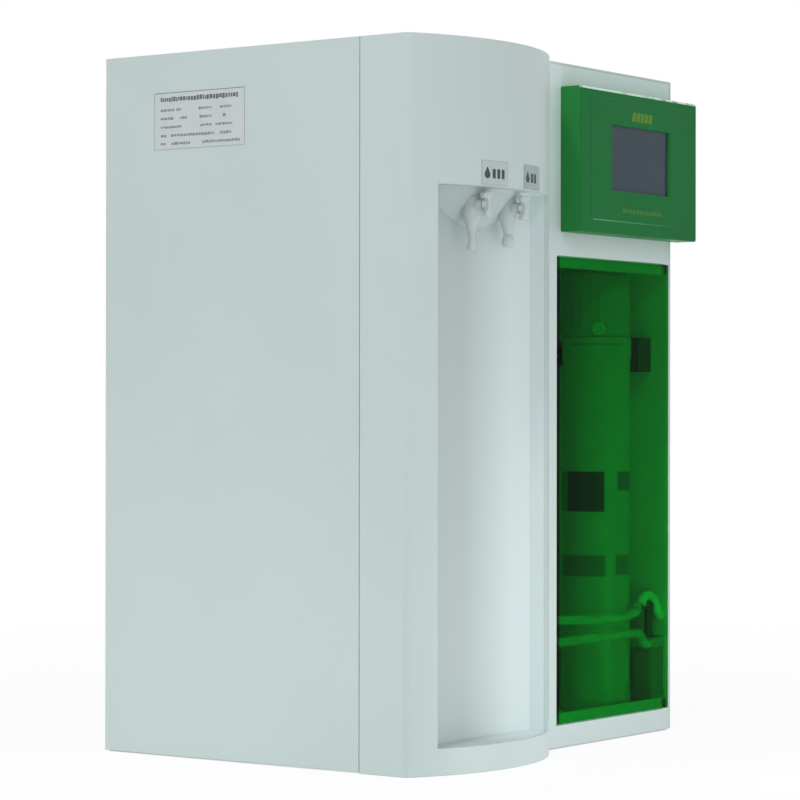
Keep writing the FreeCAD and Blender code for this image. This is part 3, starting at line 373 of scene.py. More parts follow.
def screenFinish(s):
    # dark display glass with a painted sheen, lighter towards the top, and faint dots
    f = Finish("screen_dark")
    cloud = f.remap(f.noise(34, 3), 0.35, 0.7)
    # painted sheen: the glass turns lighter towards the top
    colour = f.blend(f.times(f.ramp("z", *s["span"]), cloud), s["lower"], s["glass"])
    dots = f.add("ShaderNodeTexVoronoi", {"Vector": f.place, "Scale": 260.0})
    colour = f.blend(f.remap(dots.outputs["Distance"], 0.08, 0.02, 0.0, 0.35), colour, s["speck"])
    f.set(colour=colour, rough=f.remap(f.noise(60, 4), 0.4, 0.8, 0.12, 0.26), gloss=0.12,
          bump=f.bump(cloud, 0.03, 0.0005))
    return f.material


finishes["screen_dark"] = screenFinish(screenSettings)


labelSettings = {
    "plate": tone(206, 213, 212), "second": tone(200, 208, 208), "rim": tone(150, 163, 164),
    # the tap labels are a little darker: where each one's colour starts, and the colour
    "tapLabels": ((21.05, tone(187, 200, 199)), (111.05, tone(160, 176, 180))),
}


def labelFinish(s):
    # printed film with a faint weave and a greyer rim
    f = Finish("label_grey")
    colour = f.blend(f.remap(f.noise(70, 4), 0.35, 0.7), s["plate"], s["second"])
    for start, film in s["tapLabels"]:
        colour = f.blend(f.ramp("x", start, start + 2.0), colour, film)
    soft = f.softEdge(0.0009)
    colour = f.blend(f.times(f.edgeMask(soft), 0.7), colour, s["rim"])
    f.set(colour=colour, rough=f.remap(f.noise(120, 2), 0.3, 0.7, 0.34, 0.5),
          bump=f.bump(f.noise(2400, 1), 0.06, 0.0001, soft))
    return f.material


finishes["label_grey"] = labelFinish(labelSettings)


printSettings = {
    # two tones of the ink, and the height below which it turns to a third tone
    "ink_dark": {"colour": tone(62, 70, 78), "second": tone(88, 96, 104)},
    "ink_grey": {"colour": tone(98, 102, 104), "second": tone(122, 126, 128),
                 "below": (546.5, tone(140, 145, 147))},
    "console_print": {"colour": tone(98, 144, 44), "second": tone(82, 132, 46),
                      "below": (500.0, tone(66, 124, 50))},
    "ink_white": {"colour": tone(226, 228, 228), "second": tone(214, 216, 216)},
}


def printFinish(name, s):
    # screen-printed ink, a little uneven
    f = Finish(name)
    ink = f.blend(f.remap(f.noise(900, 3), 0.35, 0.65), s["colour"], s["second"])
    if "below" in s:
        height, other = s["below"]
        ink = f.blend(f.ramp("z", height + 1.0, height), ink, other)
    f.set(colour=ink, rough=f.remap(f.noise(300, 2), 0.3, 0.7, 0.39, 0.51), gloss=0.1,
          bump=f.bump(f.noise(2000, 1), 0.05, 0.0001))
    return f.material


finishes.update({name: printFinish(name, s) for name, s in printSettings.items()})


portSettings = {"body": tone(58, 66, 80), "second": tone(66, 75, 90), "ring": tone(206, 210, 212),
                "ringAt": (280.4, 284.4)}


def portFinish(s):
    # blue-grey fitting with a pale release ring at its mouth
    f = Finish("port_blue")
    colour = f.blend(f.remap(f.noise(60, 3), 0.3, 0.7), s["body"], s["second"])
    colour = f.blend(f.stripe("y", *s["ringAt"], 0.1), colour, s["ring"])
    f.set(colour=colour, rough=f.remap(f.noise(90, 3), 0.3, 0.7, 0.28, 0.4),
          bump=f.bump(f.noise(1400, 1), 0.06, 0.0001, f.softEdge(0.0005)))
    return f.material


finishes["port_blue"] = portFinish(portSettings)


inletSettings = {"body": tone(40, 41, 44), "second": tone(48, 49, 52), "pin": tone(205, 200, 188),
                 "pinsAt": (("x", 351.05, 369.05), ("z", 65.5, 75.5), ("y", 254.1, 268.4))}


def inletFinish(s):
    # black shroud with bare metal pins in its mouth
    f = Finish("inlet_black")
    pins = 1.0
    for axis, low, high in s["pinsAt"]:
        pins = f.times(pins, f.stripe(axis, low, high, 0.1))
    colour = f.blend(f.remap(f.noise(80, 3), 0.3, 0.7), s["body"], s["second"])
    f.set(colour=f.blend(pins, colour, s["pin"]), metal=pins,
          rough=f.remap(f.noise(90, 3), 0.3, 0.7, 0.3, 0.44),
          bump=f.bump(f.noise(1500, 1), 0.08, 0.0001, f.softEdge(0.0005)))
    return f.material


finishes["inlet_black"] = inletFinish(inletSettings)
print("finishes made:", len(finishes))


# ---- cad nodes that keep their shape

nodeFinishes = {
    "shell_white": ["tower_shell"],
    "liner_white": ["niche_liner"],
    "panel_white": ["left_side_panel", "right_side_panel", "top_panel", "rear_panel"],
    "front_white_painted_light": ["front_panel", "door_hinge_blocks"],
    "inner_sheet": ["bay_lining"],
    "bare_steel": ["base_pan", "partition", "inner_brackets", "tap_bracket", "console_back_plate"],
    "uv_steel": ["uv_reactor"],
    "lamp_glass": ["uv_lamp"],
    "bright_steel": ["door_strike_plate"],
    "pin_steel": ["door_hinge_pins"],
    "screen_dark": ["display_window"],
    "module_metal": ["display_module"],
    "board_green": ["control_board", "relay_board"],
    "catch_black": ["door_magnet_catch", "cartridge_clips", "pump_elbow", "fuse_holder", "rocker_frame",
                    "power_rocker"],
    "inlet_black": ["mains_inlet"],
    "cartridge_white": ["conditioning_cartridge", "sediment_filter", "carbon_filter", "membrane_housing"],
    "cartridge_cap": ["membrane_end_caps"],
    "label_grey": ["tap_labels", "rating_plate"],
    "tap_white": ["tap_plug_1", "tap_plug_2", "lock_nuts"],
    "motor_paint": ["booster_pump_motor"],
    "pump_plastic": ["booster_pump_head", "solenoid_valves", "pressure_switch", "conductivity_cells"],
    "rubber_black": ["booster_pump_feet"],
    "supply_metal": ["power_supply"],
    "tube_clear": ["water_tubes"],
    "wire_black": ["mains_wiring"],
}
for finishName, nodeNames in nodeFinishes.items():
    for nodeName in nodeNames:
        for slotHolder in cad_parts[nodeName].material_slots:
            slotHolder.material = finishes[finishName]
print("cad nodes dressed:", sum(len(v) for v in nodeFinishes.values()))


# ---- mesh helpers

def toMesh(name, bm):
    bmesh.ops.recalc_face_normals(bm, faces=bm.faces)
    mesh = bpy.data.meshes.new(name)
    bm.to_mesh(mesh)
    bm.free()
    return mesh


def newPiece(name, bm, finish, body, replaces=(), bevel=None, smooth=35):
    # bevel is the rounding's width in mm and its segments, smooth is in degrees
    mesh = toMesh(name, bm)
    piece = bpy.data.objects.new(name, mesh)
    bpy.context.scene.collection.objects.link(piece)
    mesh.materials.append(finishes[finish])
    for polygon in mesh.polygons:
        polygon.use_smooth = True
    if bevel:
        rounding = piece.modifiers.new("rounding", "BEVEL")
        rounding.width = bevel[0] * mm
        rounding.segments = bevel[1]
        rounding.limit_method = "ANGLE"
        rounding.angle_limit = math.radians(30)
        rounding.harden_normals = True
    mesh.set_sharp_from_angle(angle=math.radians(smooth))
    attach(piece, body)
    if replaces:
        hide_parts(*replaces)


def angles(steps):
    return [2 * math.pi * i / steps for i in range(steps)]


def roundRect(x0, x1, z0, z1, r, y, steps=5):
    # a rounded rectangle that faces the front, as a ring of points
    ring = []
    corners = ((x1 - r, z1 - r), (x0 + r, z1 - r), (x0 + r, z0 + r), (x1 - r, z0 + r))
    for quarter, (cx, cz) in enumerate(corners):
        for i in range(steps + 1):
            a = math.radians(90 * quarter + 90 * i / steps)
            ring.append(spot(cx + r * math.cos(a), y, cz + r * math.sin(a)))
    return ring


def loft(bm, rings, capFirst=False, capLast=False, loop=False):
    rows = [[bm.verts.new(p) for p in ring] for ring in rings]
    pairs = list(zip(rows, rows[1:])) + ([(rows[-1], rows[0])] if loop else [])
    for low, high in pairs:
        count = len(low)
        for i in range(count):
            j = (i + 1) % count
            bm.faces.new((low[i], low[j], high[j], high[i]))
    if capFirst:
        bm.faces.new(list(reversed(rows[0])))
    if capLast:
        bm.faces.new(rows[-1])


def turned(bm, profile, at, direction=(0, 0, 1), steps=48):
    # a lathe shape: profile is (radius, distance along direction) in mm, closed at both ends
    ahead = Vector(direction).normalized()
    side = ahead.orthogonal().normalized()
    up = ahead.cross(side)
    centre = spot(*at)
    rings = []
    for r, along in profile:
        rings.append([centre + ((side * math.cos(a) + up * math.sin(a)) * r + ahead * along) * mm
                      for a in angles(steps)])
    loft(bm, rings, capFirst=profile[0][0] > 0, capLast=profile[-1][0] > 0)


def hose(bm, stops, r, steps=24, between=8):
    # a round hose through the stops, with smooth bends, closed at both ends
    stops = [spot(*stop) for stop in stops]
    stops = [stops[0]] + stops + [stops[-1]]
    path = []
    for a, b, c, d in zip(stops, stops[1:], stops[2:], stops[3:]):
        for i in range(between):
            t = i / between
            path.append(((2 * b) + (c - a) * t + (2 * a - 5 * b + 4 * c - d) * t ** 2
                         + (3 * b - a - 3 * c + d) * t ** 3) / 2)
    path.append(stops[-1])
    rings = []
    side = None
    for i, point in enumerate(path):
        ahead = (path[min(i + 1, len(path) - 1)] - path[max(i - 1, 0)]).normalized()
        side = ahead.orthogonal() if side is None else side - ahead * side.dot(ahead)
        side.normalize()
        up = ahead.cross(side)
        rings.append([point + (side * math.cos(a) + up * math.sin(a)) * r * mm for a in angles(steps)])
    loft(bm, rings, capFirst=True, capLast=True)


def block(bm, x0, x1, y0, y1, z0, z1):
    foot = ((x0, y0), (x1, y0), (x1, y1), (x0, y1))
    corners = [bm.verts.new(spot(x, y, z)) for z in (z0, z1) for x, y in foot]
    for face in ((0, 1, 2, 3), (4, 5, 6, 7), (0, 1, 5, 4), (1, 2, 6, 5), (2, 3, 7, 6), (3, 0, 4, 7)):
        bm.faces.new([corners[i] for i in face])


# ---- console housing

consoleSizes = {
    "outline": (243.5, 442.5, 444.5, 569.8), "front": -56.0, "wall": 2.5, "chamfer": 0.9,
    "corner": 1.6, "frontCorner": 1.12, "innerCorner": 1.5,
    "film": (261.5, 423.5, 455.8, 562.5), "filmLift": 0.3, "filmEase": 0.4, "filmCorners": (2.4, 2.0),
    "window": (296.0, 394.3, 482.8, 539.8), "windowEase": 0.8, "windowCorners": (1.4, 0.8),
    "rounding": (0.45, 3),
}


def makeConsole(s):
    front, wall, cut = s["front"], s["wall"], s["chamfer"]
    ease, lift = s["windowEase"], s["filmLift"]

    def ring(box, grow, r, y):
        x0, x1, z0, z1 = box
        return roundRect(x0 - grow, x1 + grow, z0 - grow, z1 + grow, r, y)

    outline, film, window = s["outline"], s["film"], s["window"]
    # round the outside, over the film, through the window and back along the inner walls
    rings = [
        ring(outline, 0, s["corner"], panelFront),
        ring(outline, 0, s["corner"], front + cut),
        ring(outline, -cut, s["frontCorner"], front),
        ring(film, s["filmEase"], s["filmCorners"][0], front),
        ring(film, 0, s["filmCorners"][1], front - lift),
        ring(window, ease, s["windowCorners"][0], front - lift),
        ring(window, 0, s["windowCorners"][1], front + ease),
        ring(window, 0, s["windowCorners"][1], front + wall),
        ring(outline, -wall, s["innerCorner"], front + wall),
        ring(outline, -wall, s["innerCorner"], panelFront),
    ]
    bm = bmesh.new()
    loft(bm, rings, loop=True)
    newPiece("consoleHousing", bm, "console_green", "cabinet", ["console_housing"],
             bevel=s["rounding"])


makeConsole(consoleSizes)


# ---- console marks: a plain row of slanted bars and a row of dashes

markSizes = {
    "face": -56.3, "thick": 0.1,
    "bars": {"x": 328.2, "z": (545.1, 553.3), "width": 5.8, "pitch": 7.0, "lean": 2.0, "count": 5},
    "dashes": {"x": 312.4, "z": (463.8, 467.4), "gap": 1.4, "lean": 0.4,
               "widths": (9, 5, 6, 4, 7, 5, 5, 8, 6)},
}


def slantedBar(bm, x, width, kind, s):
    z0, z1 = kind["z"]
    outline = ((x, z0), (x + width, z0), (x + width + kind["lean"], z1), (x + kind["lean"], z1))
    loft(bm, [[spot(px, y, pz) for px, pz in outline] for y in (s["face"], s["face"] - s["thick"])],
         capFirst=True, capLast=True)


def makeConsoleMarks(s):
    bm = bmesh.new()
    bars, dashes = s["bars"], s["dashes"]
    for i in range(bars["count"]):
        slantedBar(bm, bars["x"] + i * bars["pitch"], bars["width"], bars, s)
    x = dashes["x"]
    for width in dashes["widths"]:
        slantedBar(bm, x, width, dashes, s)
        x += width + dashes["gap"]
    newPiece("consoleMarks", bm, "console_print", "cabinet", ["console_marks"])


makeConsoleMarks(markSizes)
print("console made")


# ---- door sheet

doorSizes = {"thick": 3.0, "z": (21.0, 423.0), "rounding": (0.5, 2)}


def makeDoor(s):
    bm = bmesh.new()
    block(bm, *doorSpan, panelFront, panelFront + s["thick"], *s["z"])
    newPiece("doorSheet", bm, "door_green", "door", ["door"], bevel=s["rounding"])


makeDoor(doorSizes)


# ---- taps

tapSizes = {
    "xs": (83.0, 137.0), "y": -52.0, "plugZ": 457.5, "handleFront": -70.5, "handleBack": -64.5,
    # radius and height of the body, radius and reach of the boss round the plug
    "body": ((3.2, 436.0), (3.6, 436.6), (3.9, 438.5), (4.6, 441.0), (6.2, 445.0), (7.2, 448.2), (7.5, 451.0),
             (7.5, 463.0), (7.1, 464.0), (7.1, 465.4), (7.5, 466.4), (7.5, 472.6), (7.0, 473.3), (5.0, 473.5),
             (5.0, 500.0)),
    "boss": ((4.6, -12.0), (4.9, -11.4), (4.9, -8.6), (5.4, -7.6), (5.4, -6.0)),
    "tips": (
        ((2.0, 420.6), (2.6, 420.6), (3.2, 421.6), (3.6, 424.0), (3.3, 426.0), (2.5, 427.9), (2.4, 431.0),
         (3.0, 434.0), (3.0, 436.0)),
        ((2.0, 425.8), (3.7, 425.8), (4.7, 427.2), (5.4, 430.8), (4.9, 433.3), (3.5, 435.3), (3.0, 436.0)),
    ),
    "bore": 2.0, "boreEase": 0.3,
}


def makeTaps(s):
    whole = bmesh.new()
    for x in s["xs"]:
        part = bmesh.new()
        turned(part, s["body"], (x, s["y"], 0))
        turned(part, s["boss"], (x, s["y"], s["plugZ"]), (0, 1, 0), 32)
        mesh = toMesh("tapPart", part)
        whole.from_mesh(mesh)
        bpy.data.meshes.remove(mesh)
    newPiece("tapBodies", whole, "tap_plastic", "cabinet", ["tap_bodies"], bevel=(0.25, 2),
             smooth=50)
    tips = bmesh.new()
    for x, profile in zip(s["xs"], s["tips"]):
        foot, top = profile[0][1] + s["boreEase"], profile[-1][1]
        turned(tips, ((s["bore"], foot),) + profile + ((s["bore"], top),), (x, s["y"], 0), steps=40)
    newPiece("tapTips", tips, "tap_plastic", "cabinet", ["tap_nozzles"], smooth=60)


handleSizes = {
    # half outlines of the two wings, seen from the front: (sideways, along)
    "upper": ((0.0, 0.0), (2.0, 0.0), (2.1, 3.6), (3.2, 4.9), (6.2, 5.4), (7.3, 6.4), (7.5, 7.9),
              (6.9, 9.3), (5.2, 10.2), (0.0, 10.2)),
    "lower": ((0.0, 0.0), (2.0, 0.0), (2.1, 3.4), (2.6, 4.8), (4.0, 5.6), (4.9, 7.0), (4.8, 8.7),
              (3.7, 9.8), (2.4, 10.2), (0.0, 10.2)),
    # through the thickness: depth and how much of the outline is left there
    "layers": ((-1.0, 0.86), (-0.8, 0.96), (-0.3, 1.0), (0.3, 1.0), (0.8, 0.96), (1.0, 0.86)),
    "thick": 2.6, "middle": 6.9,
    "hub": ((0.0, 3.4), (2.2, 3.3), (3.0, 2.8), (3.6, 1.8), (4.4, 0.6), (4.2, 0.0), (0.0, 0.0)),
}


def makeHandle(number, s, h):
    x = s["xs"][number - 1]
    middle = (s["handleFront"] + s["handleBack"]) / 2
    bm = bmesh.new()
    turned(bm, h["hub"], (x, s["handleBack"], s["plugZ"]), (0, -1, 0), 40)
    for up, wing in ((1, h["upper"]), (-1, h["lower"])):
        outline = list(wing) + [(-side, along) for side, along in reversed(wing[1:-1])]
        rings = []
        for depth, shrink in h["layers"]:
            ring = []
            for side, along in outline:
                away = h["middle"] + (along - h["middle"]) * shrink if along > 0 else 0.0
                ring.append(spot(x + side * shrink, middle + depth * h["thick"], s["plugZ"] + up * away))
            rings.append(ring)
        loft(bm, rings, capFirst=True, capLast=True)
    newPiece("tapHandle%d" % number, bm, "tap_white", "tap_%d_turning" % number,
             ["tap_handle_%d" % number], bevel=(0.3, 2), smooth=60)


makeTaps(tapSizes)
for handleNumber in (1, 2):
    makeHandle(handleNumber, tapSizes, handleSizes)
print("taps made")


# ---- printed marks on the tap labels and the rating plate, with painted shade along the plate's top and left edges

labelSizes = {
    "xs": (81.0, 138.0), "z": 481.65, "lift": 0.42, "thick": 0.05,
    "bowX": 105.0, "bowY": 109.8, "bowR": 188.0,
    "drop": (-9.6, -0.9, 3.3),  # sideways, up, size
    "barsFrom": -3.6, "barHalf": 3.8,
    "bars": ((3, 5.6, 3.6), (2, 6.4, 4.4)),  # for each label: how many, pitch, width
}


def onBow(x, z, lift, s):
    return spot(x, s["bowY"] - math.sqrt((s["bowR"] + lift) ** 2 - (x - s["bowX"]) ** 2), z)


def bowShape(bm, outline, s):
    loft(bm, [[onBow(x, z, lift, s) for x, z in outline] for lift in (s["lift"], s["lift"] + s["thick"])],
         capFirst=True, capLast=True)


def dropOutline(x, z, size):
    # round below, drawn up to a narrow tip above
    points = []
    for a in angles(20):
        tip = max(math.sin(a), 0.0)
        across = size * math.cos(a) * (1.0 - 0.35 * tip ** 2)
        points.append((x + across, z + size * math.sin(a) * (1.0 + 0.9 * tip ** 3)))
    return points


def makeLabelMarks(s):
    bm = bmesh.new()
    aside, rise, size = s["drop"]
    low, high = s["z"] - s["barHalf"], s["z"] + s["barHalf"]
    for x, (count, pitch, width) in zip(s["xs"], s["bars"]):
        bowShape(bm, dropOutline(x + aside, s["z"] + rise, size), s)
        for i in range(count):
            left = x + s["barsFrom"] + i * pitch
            bowShape(bm, [(left, low), (left + width, low), (left + width, high), (left, high)], s)
    newPiece("tapLabelMarks", bm, "ink_dark", "cabinet")


plateMarks = {
    "y": (117.2, 214.0), "top": 557.0, "foot": 509.5, "face": -0.4, "thick": 0.03,
    # edge: widths of the painted shade lines along the plate's top and left edges
    "stroke": (1.1, 3.4), "gap": 0.6, "uneven": (0.6, 1.0), "edge": (0.5, 0.3),
    # height, size and the runs of strokes, measured from the left edge
    "rows": ((551.2, 4.5, ((7, 90),)),
             (542.2, 2.5, ((7, 22), (24, 29), (48, 62), (71, 83))),
             (535.2, 2.5, ((7, 21), (28, 36), (49, 62), (74, 77))),
             (528.0, 2.2, ((7, 30), (50, 62), (66, 84))),
             (520.8, 2.6, ((7, 13), (18, 65), (71, 83))),
             (514.0, 2.6, ((7, 13), (19, 39), (52, 92)))),
}


def makePlateMarks(s):
    random.seed(7)
    bm = bmesh.new()
    right, left = s["y"]
    x0, x1 = s["face"] - s["thick"], s["face"]
    above, beside = s["edge"]
    # thin dark lines along the top edge and down the left edge: painted shade of the plate's edges
    block(bm, x0, x1, right, left, s["top"] - above, s["top"])
    block(bm, x0, x1, left - beside, left, s["foot"], s["top"] - above)
    for z, tall, runs in s["rows"]:
        for start, end in runs:
            along = start
            while along < end:
                last = min(along + random.uniform(*s["stroke"]), end)
                low, high = (tall / 2 * random.uniform(*s["uneven"]) for side in range(2))
                block(bm, x0, x1, left - last, left - along, z - low, z + high)
                along = last + s["gap"]
    newPiece("plateRules", bm, "ink_grey", "cabinet")


makeLabelMarks(labelSizes)
makePlateMarks(plateMarks)
print("labels marked")


# ---- polishing cartridge and its head

wrapSettings = {
    "colour": tone(152, 164, 160), "second": tone(160, 171, 167),
    "faces": Vector((-0.814, -0.581, 0)),  # the side that carries the patches
    # from and to round the canister, from and to in height, strength, ink
    "patches": ((-26.5, 6.0, 200.0, 236.0, 1.0, tone(80, 50, 86)),
                (-33.0, -26.5, 200.0, 236.0, 0.55, tone(70, 66, 92)),
                (18.0, 31.0, 219.0, 236.0, 0.75, tone(76, 68, 84)),
                (-30.0, 7.0, 142.0, 161.0, 0.7, tone(66, 74, 98)),
                (16.5, 30.0, 143.0, 161.0, 0.65, tone(66, 74, 98)),
                (-24.0, 22.0, 349.0, 351.2, 0.5, tone(96, 104, 100))),
}


def wrapFinish(s):
    # pale canister with printed patches on its front left side
    f = Finish("cartridge_wrap")
    middle = spot(*cartridgeAt, 0)
    offset = f.add("ShaderNodeVectorMath", {0: f.place, 1: middle}, operation="SUBTRACT").outputs[0]

    def along(direction):
        node = f.add("ShaderNodeVectorMath", {0: offset, 1: direction}, operation="DOT_PRODUCT")
        return node.outputs["Value"]

    facing = f.remap(along(s["faces"]), 0.0, 0.001)
    across = along(Vector((-s["faces"].y, s["faces"].x, 0)))
    colour = f.blend(f.remap(f.noise(12, 3), 0.3, 0.7), s["colour"], s["second"])
    for left, right, low, high, strength, ink in s["patches"]:
        patch = f.times(f.band(across, left * mm, right * mm), f.stripe("z", low, high, 0.4))
        colour = f.blend(f.times(f.times(patch, facing), strength), colour, ink)
    f.set(colour=colour, rough=f.remap(f.noise(40, 3), 0.3, 0.7, 0.30, 0.42), gloss=0.3,
          bump=f.bump(f.noise(700, 2), 0.04, 0.0002))
    return f.material


finishes["cartridge_wrap"] = wrapFinish(wrapSettings)


cartridgeSizes = {
    "r": 32.0, "low": 20.0, "shoulder": 357.0, "top": 415.0, "steps": 96, "tiny": 0.001,
    # inset from the full radius and rise from the canister's foot and shoulder
    "foot": ((2, 0), (0.4, 1.2), (0, 3), (0, 14), (0.9, 15)),
    "neck": ((0.9, -20), (0, -19), (0, -1.5), (0.8, -0.3), (3, 0)),
    # the same for the cap, from the shoulder and from the top, and whether it is ribbed there
    "capFoot": ((2, 0, False), (0.6, 1, False), (0.6, 6, False), (0.2, 7, True)),
    "capTop": ((0.2, -9, True), (1.0, -7.5, False), (1.0, -3, False), (2.4, -0.6, False), (4, 0, False)),
    "ribDip": 0.9,
    "spout": ((6.0, 27.0), (6.0, 33.6), (5.6, 34.4), (4.4, 34.8), (3.0, 34.8), (2.8, 33.0), (0.001, 33.0)),
    "spoutRise": 7, "spoutFaces": (-0.81, -0.58, 0),
}


def makePolishing(s):
    r, low, base, top = s["r"], s["low"], s["shoulder"], s["top"]
    x, y = cartridgeAt
    profile = [(0, low)] + [(r - inset, low + rise) for inset, rise in s["foot"]]
    profile += [(r - inset, base + rise) for inset, rise in s["neck"]] + [(0, base)]
    bm = bmesh.new()
    turned(bm, profile, (x, y, 0), steps=s["steps"])
    newPiece("polishingCartridge", bm, "cartridge_wrap", "cabinet",
             ["polishing_cartridge"], smooth=40)

    levels = [(s["tiny"], base, False)]
    levels += [(r - inset, base + rise, rib) for inset, rise, rib in s["capFoot"]]
    levels += [(r - inset, top + rise, rib) for inset, rise, rib in s["capTop"]]
    levels.append((s["tiny"], top, False))
    rings = []
    for radius, z, rib in levels:
        ring = []
        for i, a in enumerate(angles(s["steps"])):
            # two points out and two in, all the way round
            size = radius - s["ribDip"] if rib and i % 4 < 2 else radius
            ring.append(spot(x + size * math.cos(a), y + size * math.sin(a), z))
        rings.append(ring)
    bm = bmesh.new()
    loft(bm, rings)
    newPiece("cartridgeCap", bm, "cartridge_cap", "cabinet", ["polishing_cartridge_head"],
             smooth=28)

    bm = bmesh.new()
    turned(bm, s["spout"], (x, y, base + s["spoutRise"]), s["spoutFaces"], 40)
    newPiece("cartridgeSpout", bm, "spout_grey", "cabinet", smooth=40)


makePolishing(cartridgeSizes)


# ---- recirculation pump

pumpSizes = {
    "x": (405.0, 427.0), "y": (-31.0, -9.0), "z": (28.0, 85.0), "floor": 20.0, "footInset": 3.0,
    "cap": 9.0, "base": 8.0, "step": 1.2, "cover": (3.0, 0.5), "rounding": (0.35, 2),
}


def makePump(s):
    (x0, x1), (y0, y1), (z0, z1) = s["x"], s["y"], s["z"]
    step, foot, (margin, lift) = s["step"], s["footInset"], s["cover"]
    low, high = z0 + s["base"], z1 - s["cap"]
    bm = bmesh.new()
    block(bm, x0 + step, x1, y0 + step, y1 - step, z0, z1)
    block(bm, x0, x1, y0, y1, high, z1)
    block(bm, x0, x1, y0, y1, z0, low)
    # raised covers on the front and the left side, sunk 1 mm into the body
    block(bm, x0 + margin, x1 - margin, y0 + step - lift, y0 + step + 1, low + margin, high - margin)
    block(bm, x0 + step - lift, x0 + step + 1, y0 + margin, y1 - margin, low + margin, high - margin)
    block(bm, x0 + foot, x1 - foot, y0 + foot, y1 - foot, s["floor"], z0)
    newPiece("recirculationPump", bm, "pump_grey", "cabinet", ["recirculation_pump"],
             bevel=s["rounding"])


makePump(pumpSizes)


# ---- pale hose from the elbow over to the side wall

hoseSizes = {
    "r": 4.4, "cuff": ((0, 2.0), (4.9, 2.0), (4.9, 4.2), (4.5, 4.6), (0, 4.6)), "cuffShift": 0.4,
    "stops": ((400.5, -22.5, 114.0), (402.0, -22.4, 118.6), (407.5, -22.2, 122.0), (414.0, -22.3, 122.6),
              (419.5, -23.4, 119.8), (422.0, -25.0, 113.5), (422.6, -26.0, 107.5), (427.0, -26.4, 102.5)),
}


def makeHose(s):
    bm = bmesh.new()
    hose(bm, s["stops"], s["r"])
    x, y, z = s["stops"][0]
    turned(bm, s["cuff"], (x + s["cuffShift"], y, z), steps=32)
    newPiece("elbowHose", bm, "cartridge_white", "cabinet", smooth=50)


makeHose(hoseSizes)
print("bay pieces made")


# ---- screws

screwSizes = {
    "back": {"xs": (16.0, 215.0, 414.0), "zs": (30.0, 295.0, 560.0), "face": rearFace, "r": 3.5, "head": 1.8},
    "inner": {"xs": (262.0, 410.0), "zs": (460.0, 555.0), "face": -34.5, "r": 3.0, "head": 2.0},
    "shank": ((1.5, -9.0), (1.5, 0.0)),  # of the inner ones, which hold the console
    "dome": ((0, 1), (0.35, 1), (0.72, 0.93), (0.92, 0.78), (1, 0.58)),  # share of the head and the radius
    "socket": 1.5, "socketDepth": 1.0, "steps": 24,
}


def makeScrew(bm, at, kind, s):
    # a domed head with a hexagon socket
    r, head = kind["r"], kind["head"]

    def ring(along, radii):
        return [spot(at[0] + size * math.cos(a), at[1] + along, at[2] + size * math.sin(a))
                for a, size in zip(angles(s["steps"]), radii)]

    hexagon = [s["socket"] / math.cos(a % (math.pi / 3) - math.pi / 6) for a in angles(s["steps"])]
    rings = [ring(head * up, [r * part] * s["steps"]) for up, part in s["dome"]]
    rings += [ring(head, hexagon), ring(head - s["socketDepth"], hexagon)]
    loft(bm, rings, capFirst=True, capLast=True)


def makeScrews(s):
    bm = bmesh.new()
    for place in ("back", "inner"):
        kind = s[place]
        for x in kind["xs"]:
            for z in kind["zs"]:
                makeScrew(bm, (x, kind["face"], z), kind, s)
                if place == "inner":
                    turned(bm, s["shank"], (x, kind["face"], z), (0, 1, 0), 16)
    newPiece("panelScrews", bm, "bright_steel", "cabinet", ["panel_screws"], smooth=40)


makeScrews(screwSizes)


# ---- rear water ports

portSizes = {
    "xs": (40.0, 80.0, 120.0, 160.0), "z": 36.0, "weld": 1e-6,
    "profile": ((1.5, -22.0), (7.2, -22.0), (8.0, -21.0), (8.0, 10.4), (7.4, 11.2), (7.4, 12.0), (6.4, 12.2),
                (6.4, 13.4), (6.9, 13.8), (6.9, 15.4), (6.3, 16.0), (3.9, 16.0), (3.2, 15.2), (3.2, 2.0),
                (1.5, 1.6), (1.5, -22.0)),
}


def makePorts(s):
    bm = bmesh.new()
    for x in s["xs"]:
        turned(bm, s["profile"], (x, rearFace, s["z"]), (0, 1, 0))
    bmesh.ops.remove_doubles(bm, verts=bm.verts, dist=s["weld"])
    newPiece("waterPorts", bm, "port_blue", "cabinet", ["water_ports"], smooth=40)


makePorts(portSizes)


# ---- marks on the rocker

rockerMarks = {
    "x": 360.0, "z": 110.0, "middle": 1.2,  # the pivot, and the face's height over the panel there
    "upper": 2.7 / 9.8, "lower": 1.0 / 10.4,  # how the face slopes above and below the pivot
    "bar": {"half": 0.3, "from": 112.6, "to": 117.0, "ink": 0.04},
    "ring": {"z": 104.6, "radii": (1.1, 1.7), "ink": 0.05, "steps": 24},
}


def makeRockerMarks(s):
    def onFace(x, z, slope, lift):
        return spot(x, rearFace + s["middle"] + slope * (z - s["z"]) + lift, z)

    bm = bmesh.new()
    bar, ring = s["bar"], s["ring"]
    left, right = s["x"] - bar["half"], s["x"] + bar["half"]
    outline = ((left, bar["from"]), (right, bar["from"]), (right, bar["to"]), (left, bar["to"]))
    loft(bm, [[onFace(x, z, s["upper"], lift) for x, z in outline] for lift in (0.0, bar["ink"])],
         capFirst=True, capLast=True)
    small, large = ring["radii"]
    rings = []
    for r, lift in ((small, 0.0), (small, ring["ink"]), (large, ring["ink"]), (large, 0.0)):
        rings.append([onFace(s["x"] + r * math.cos(a), ring["z"] + r * math.sin(a), s["lower"], lift)
                      for a in angles(ring["steps"])])
    loft(bm, rings, loop=True)
    newPiece("rockerMarks", bm, "ink_white", "rocker", smooth=40)


makeRockerMarks(rockerMarks)
print("rear pieces made")


# ---- floor, backdrop and lamps

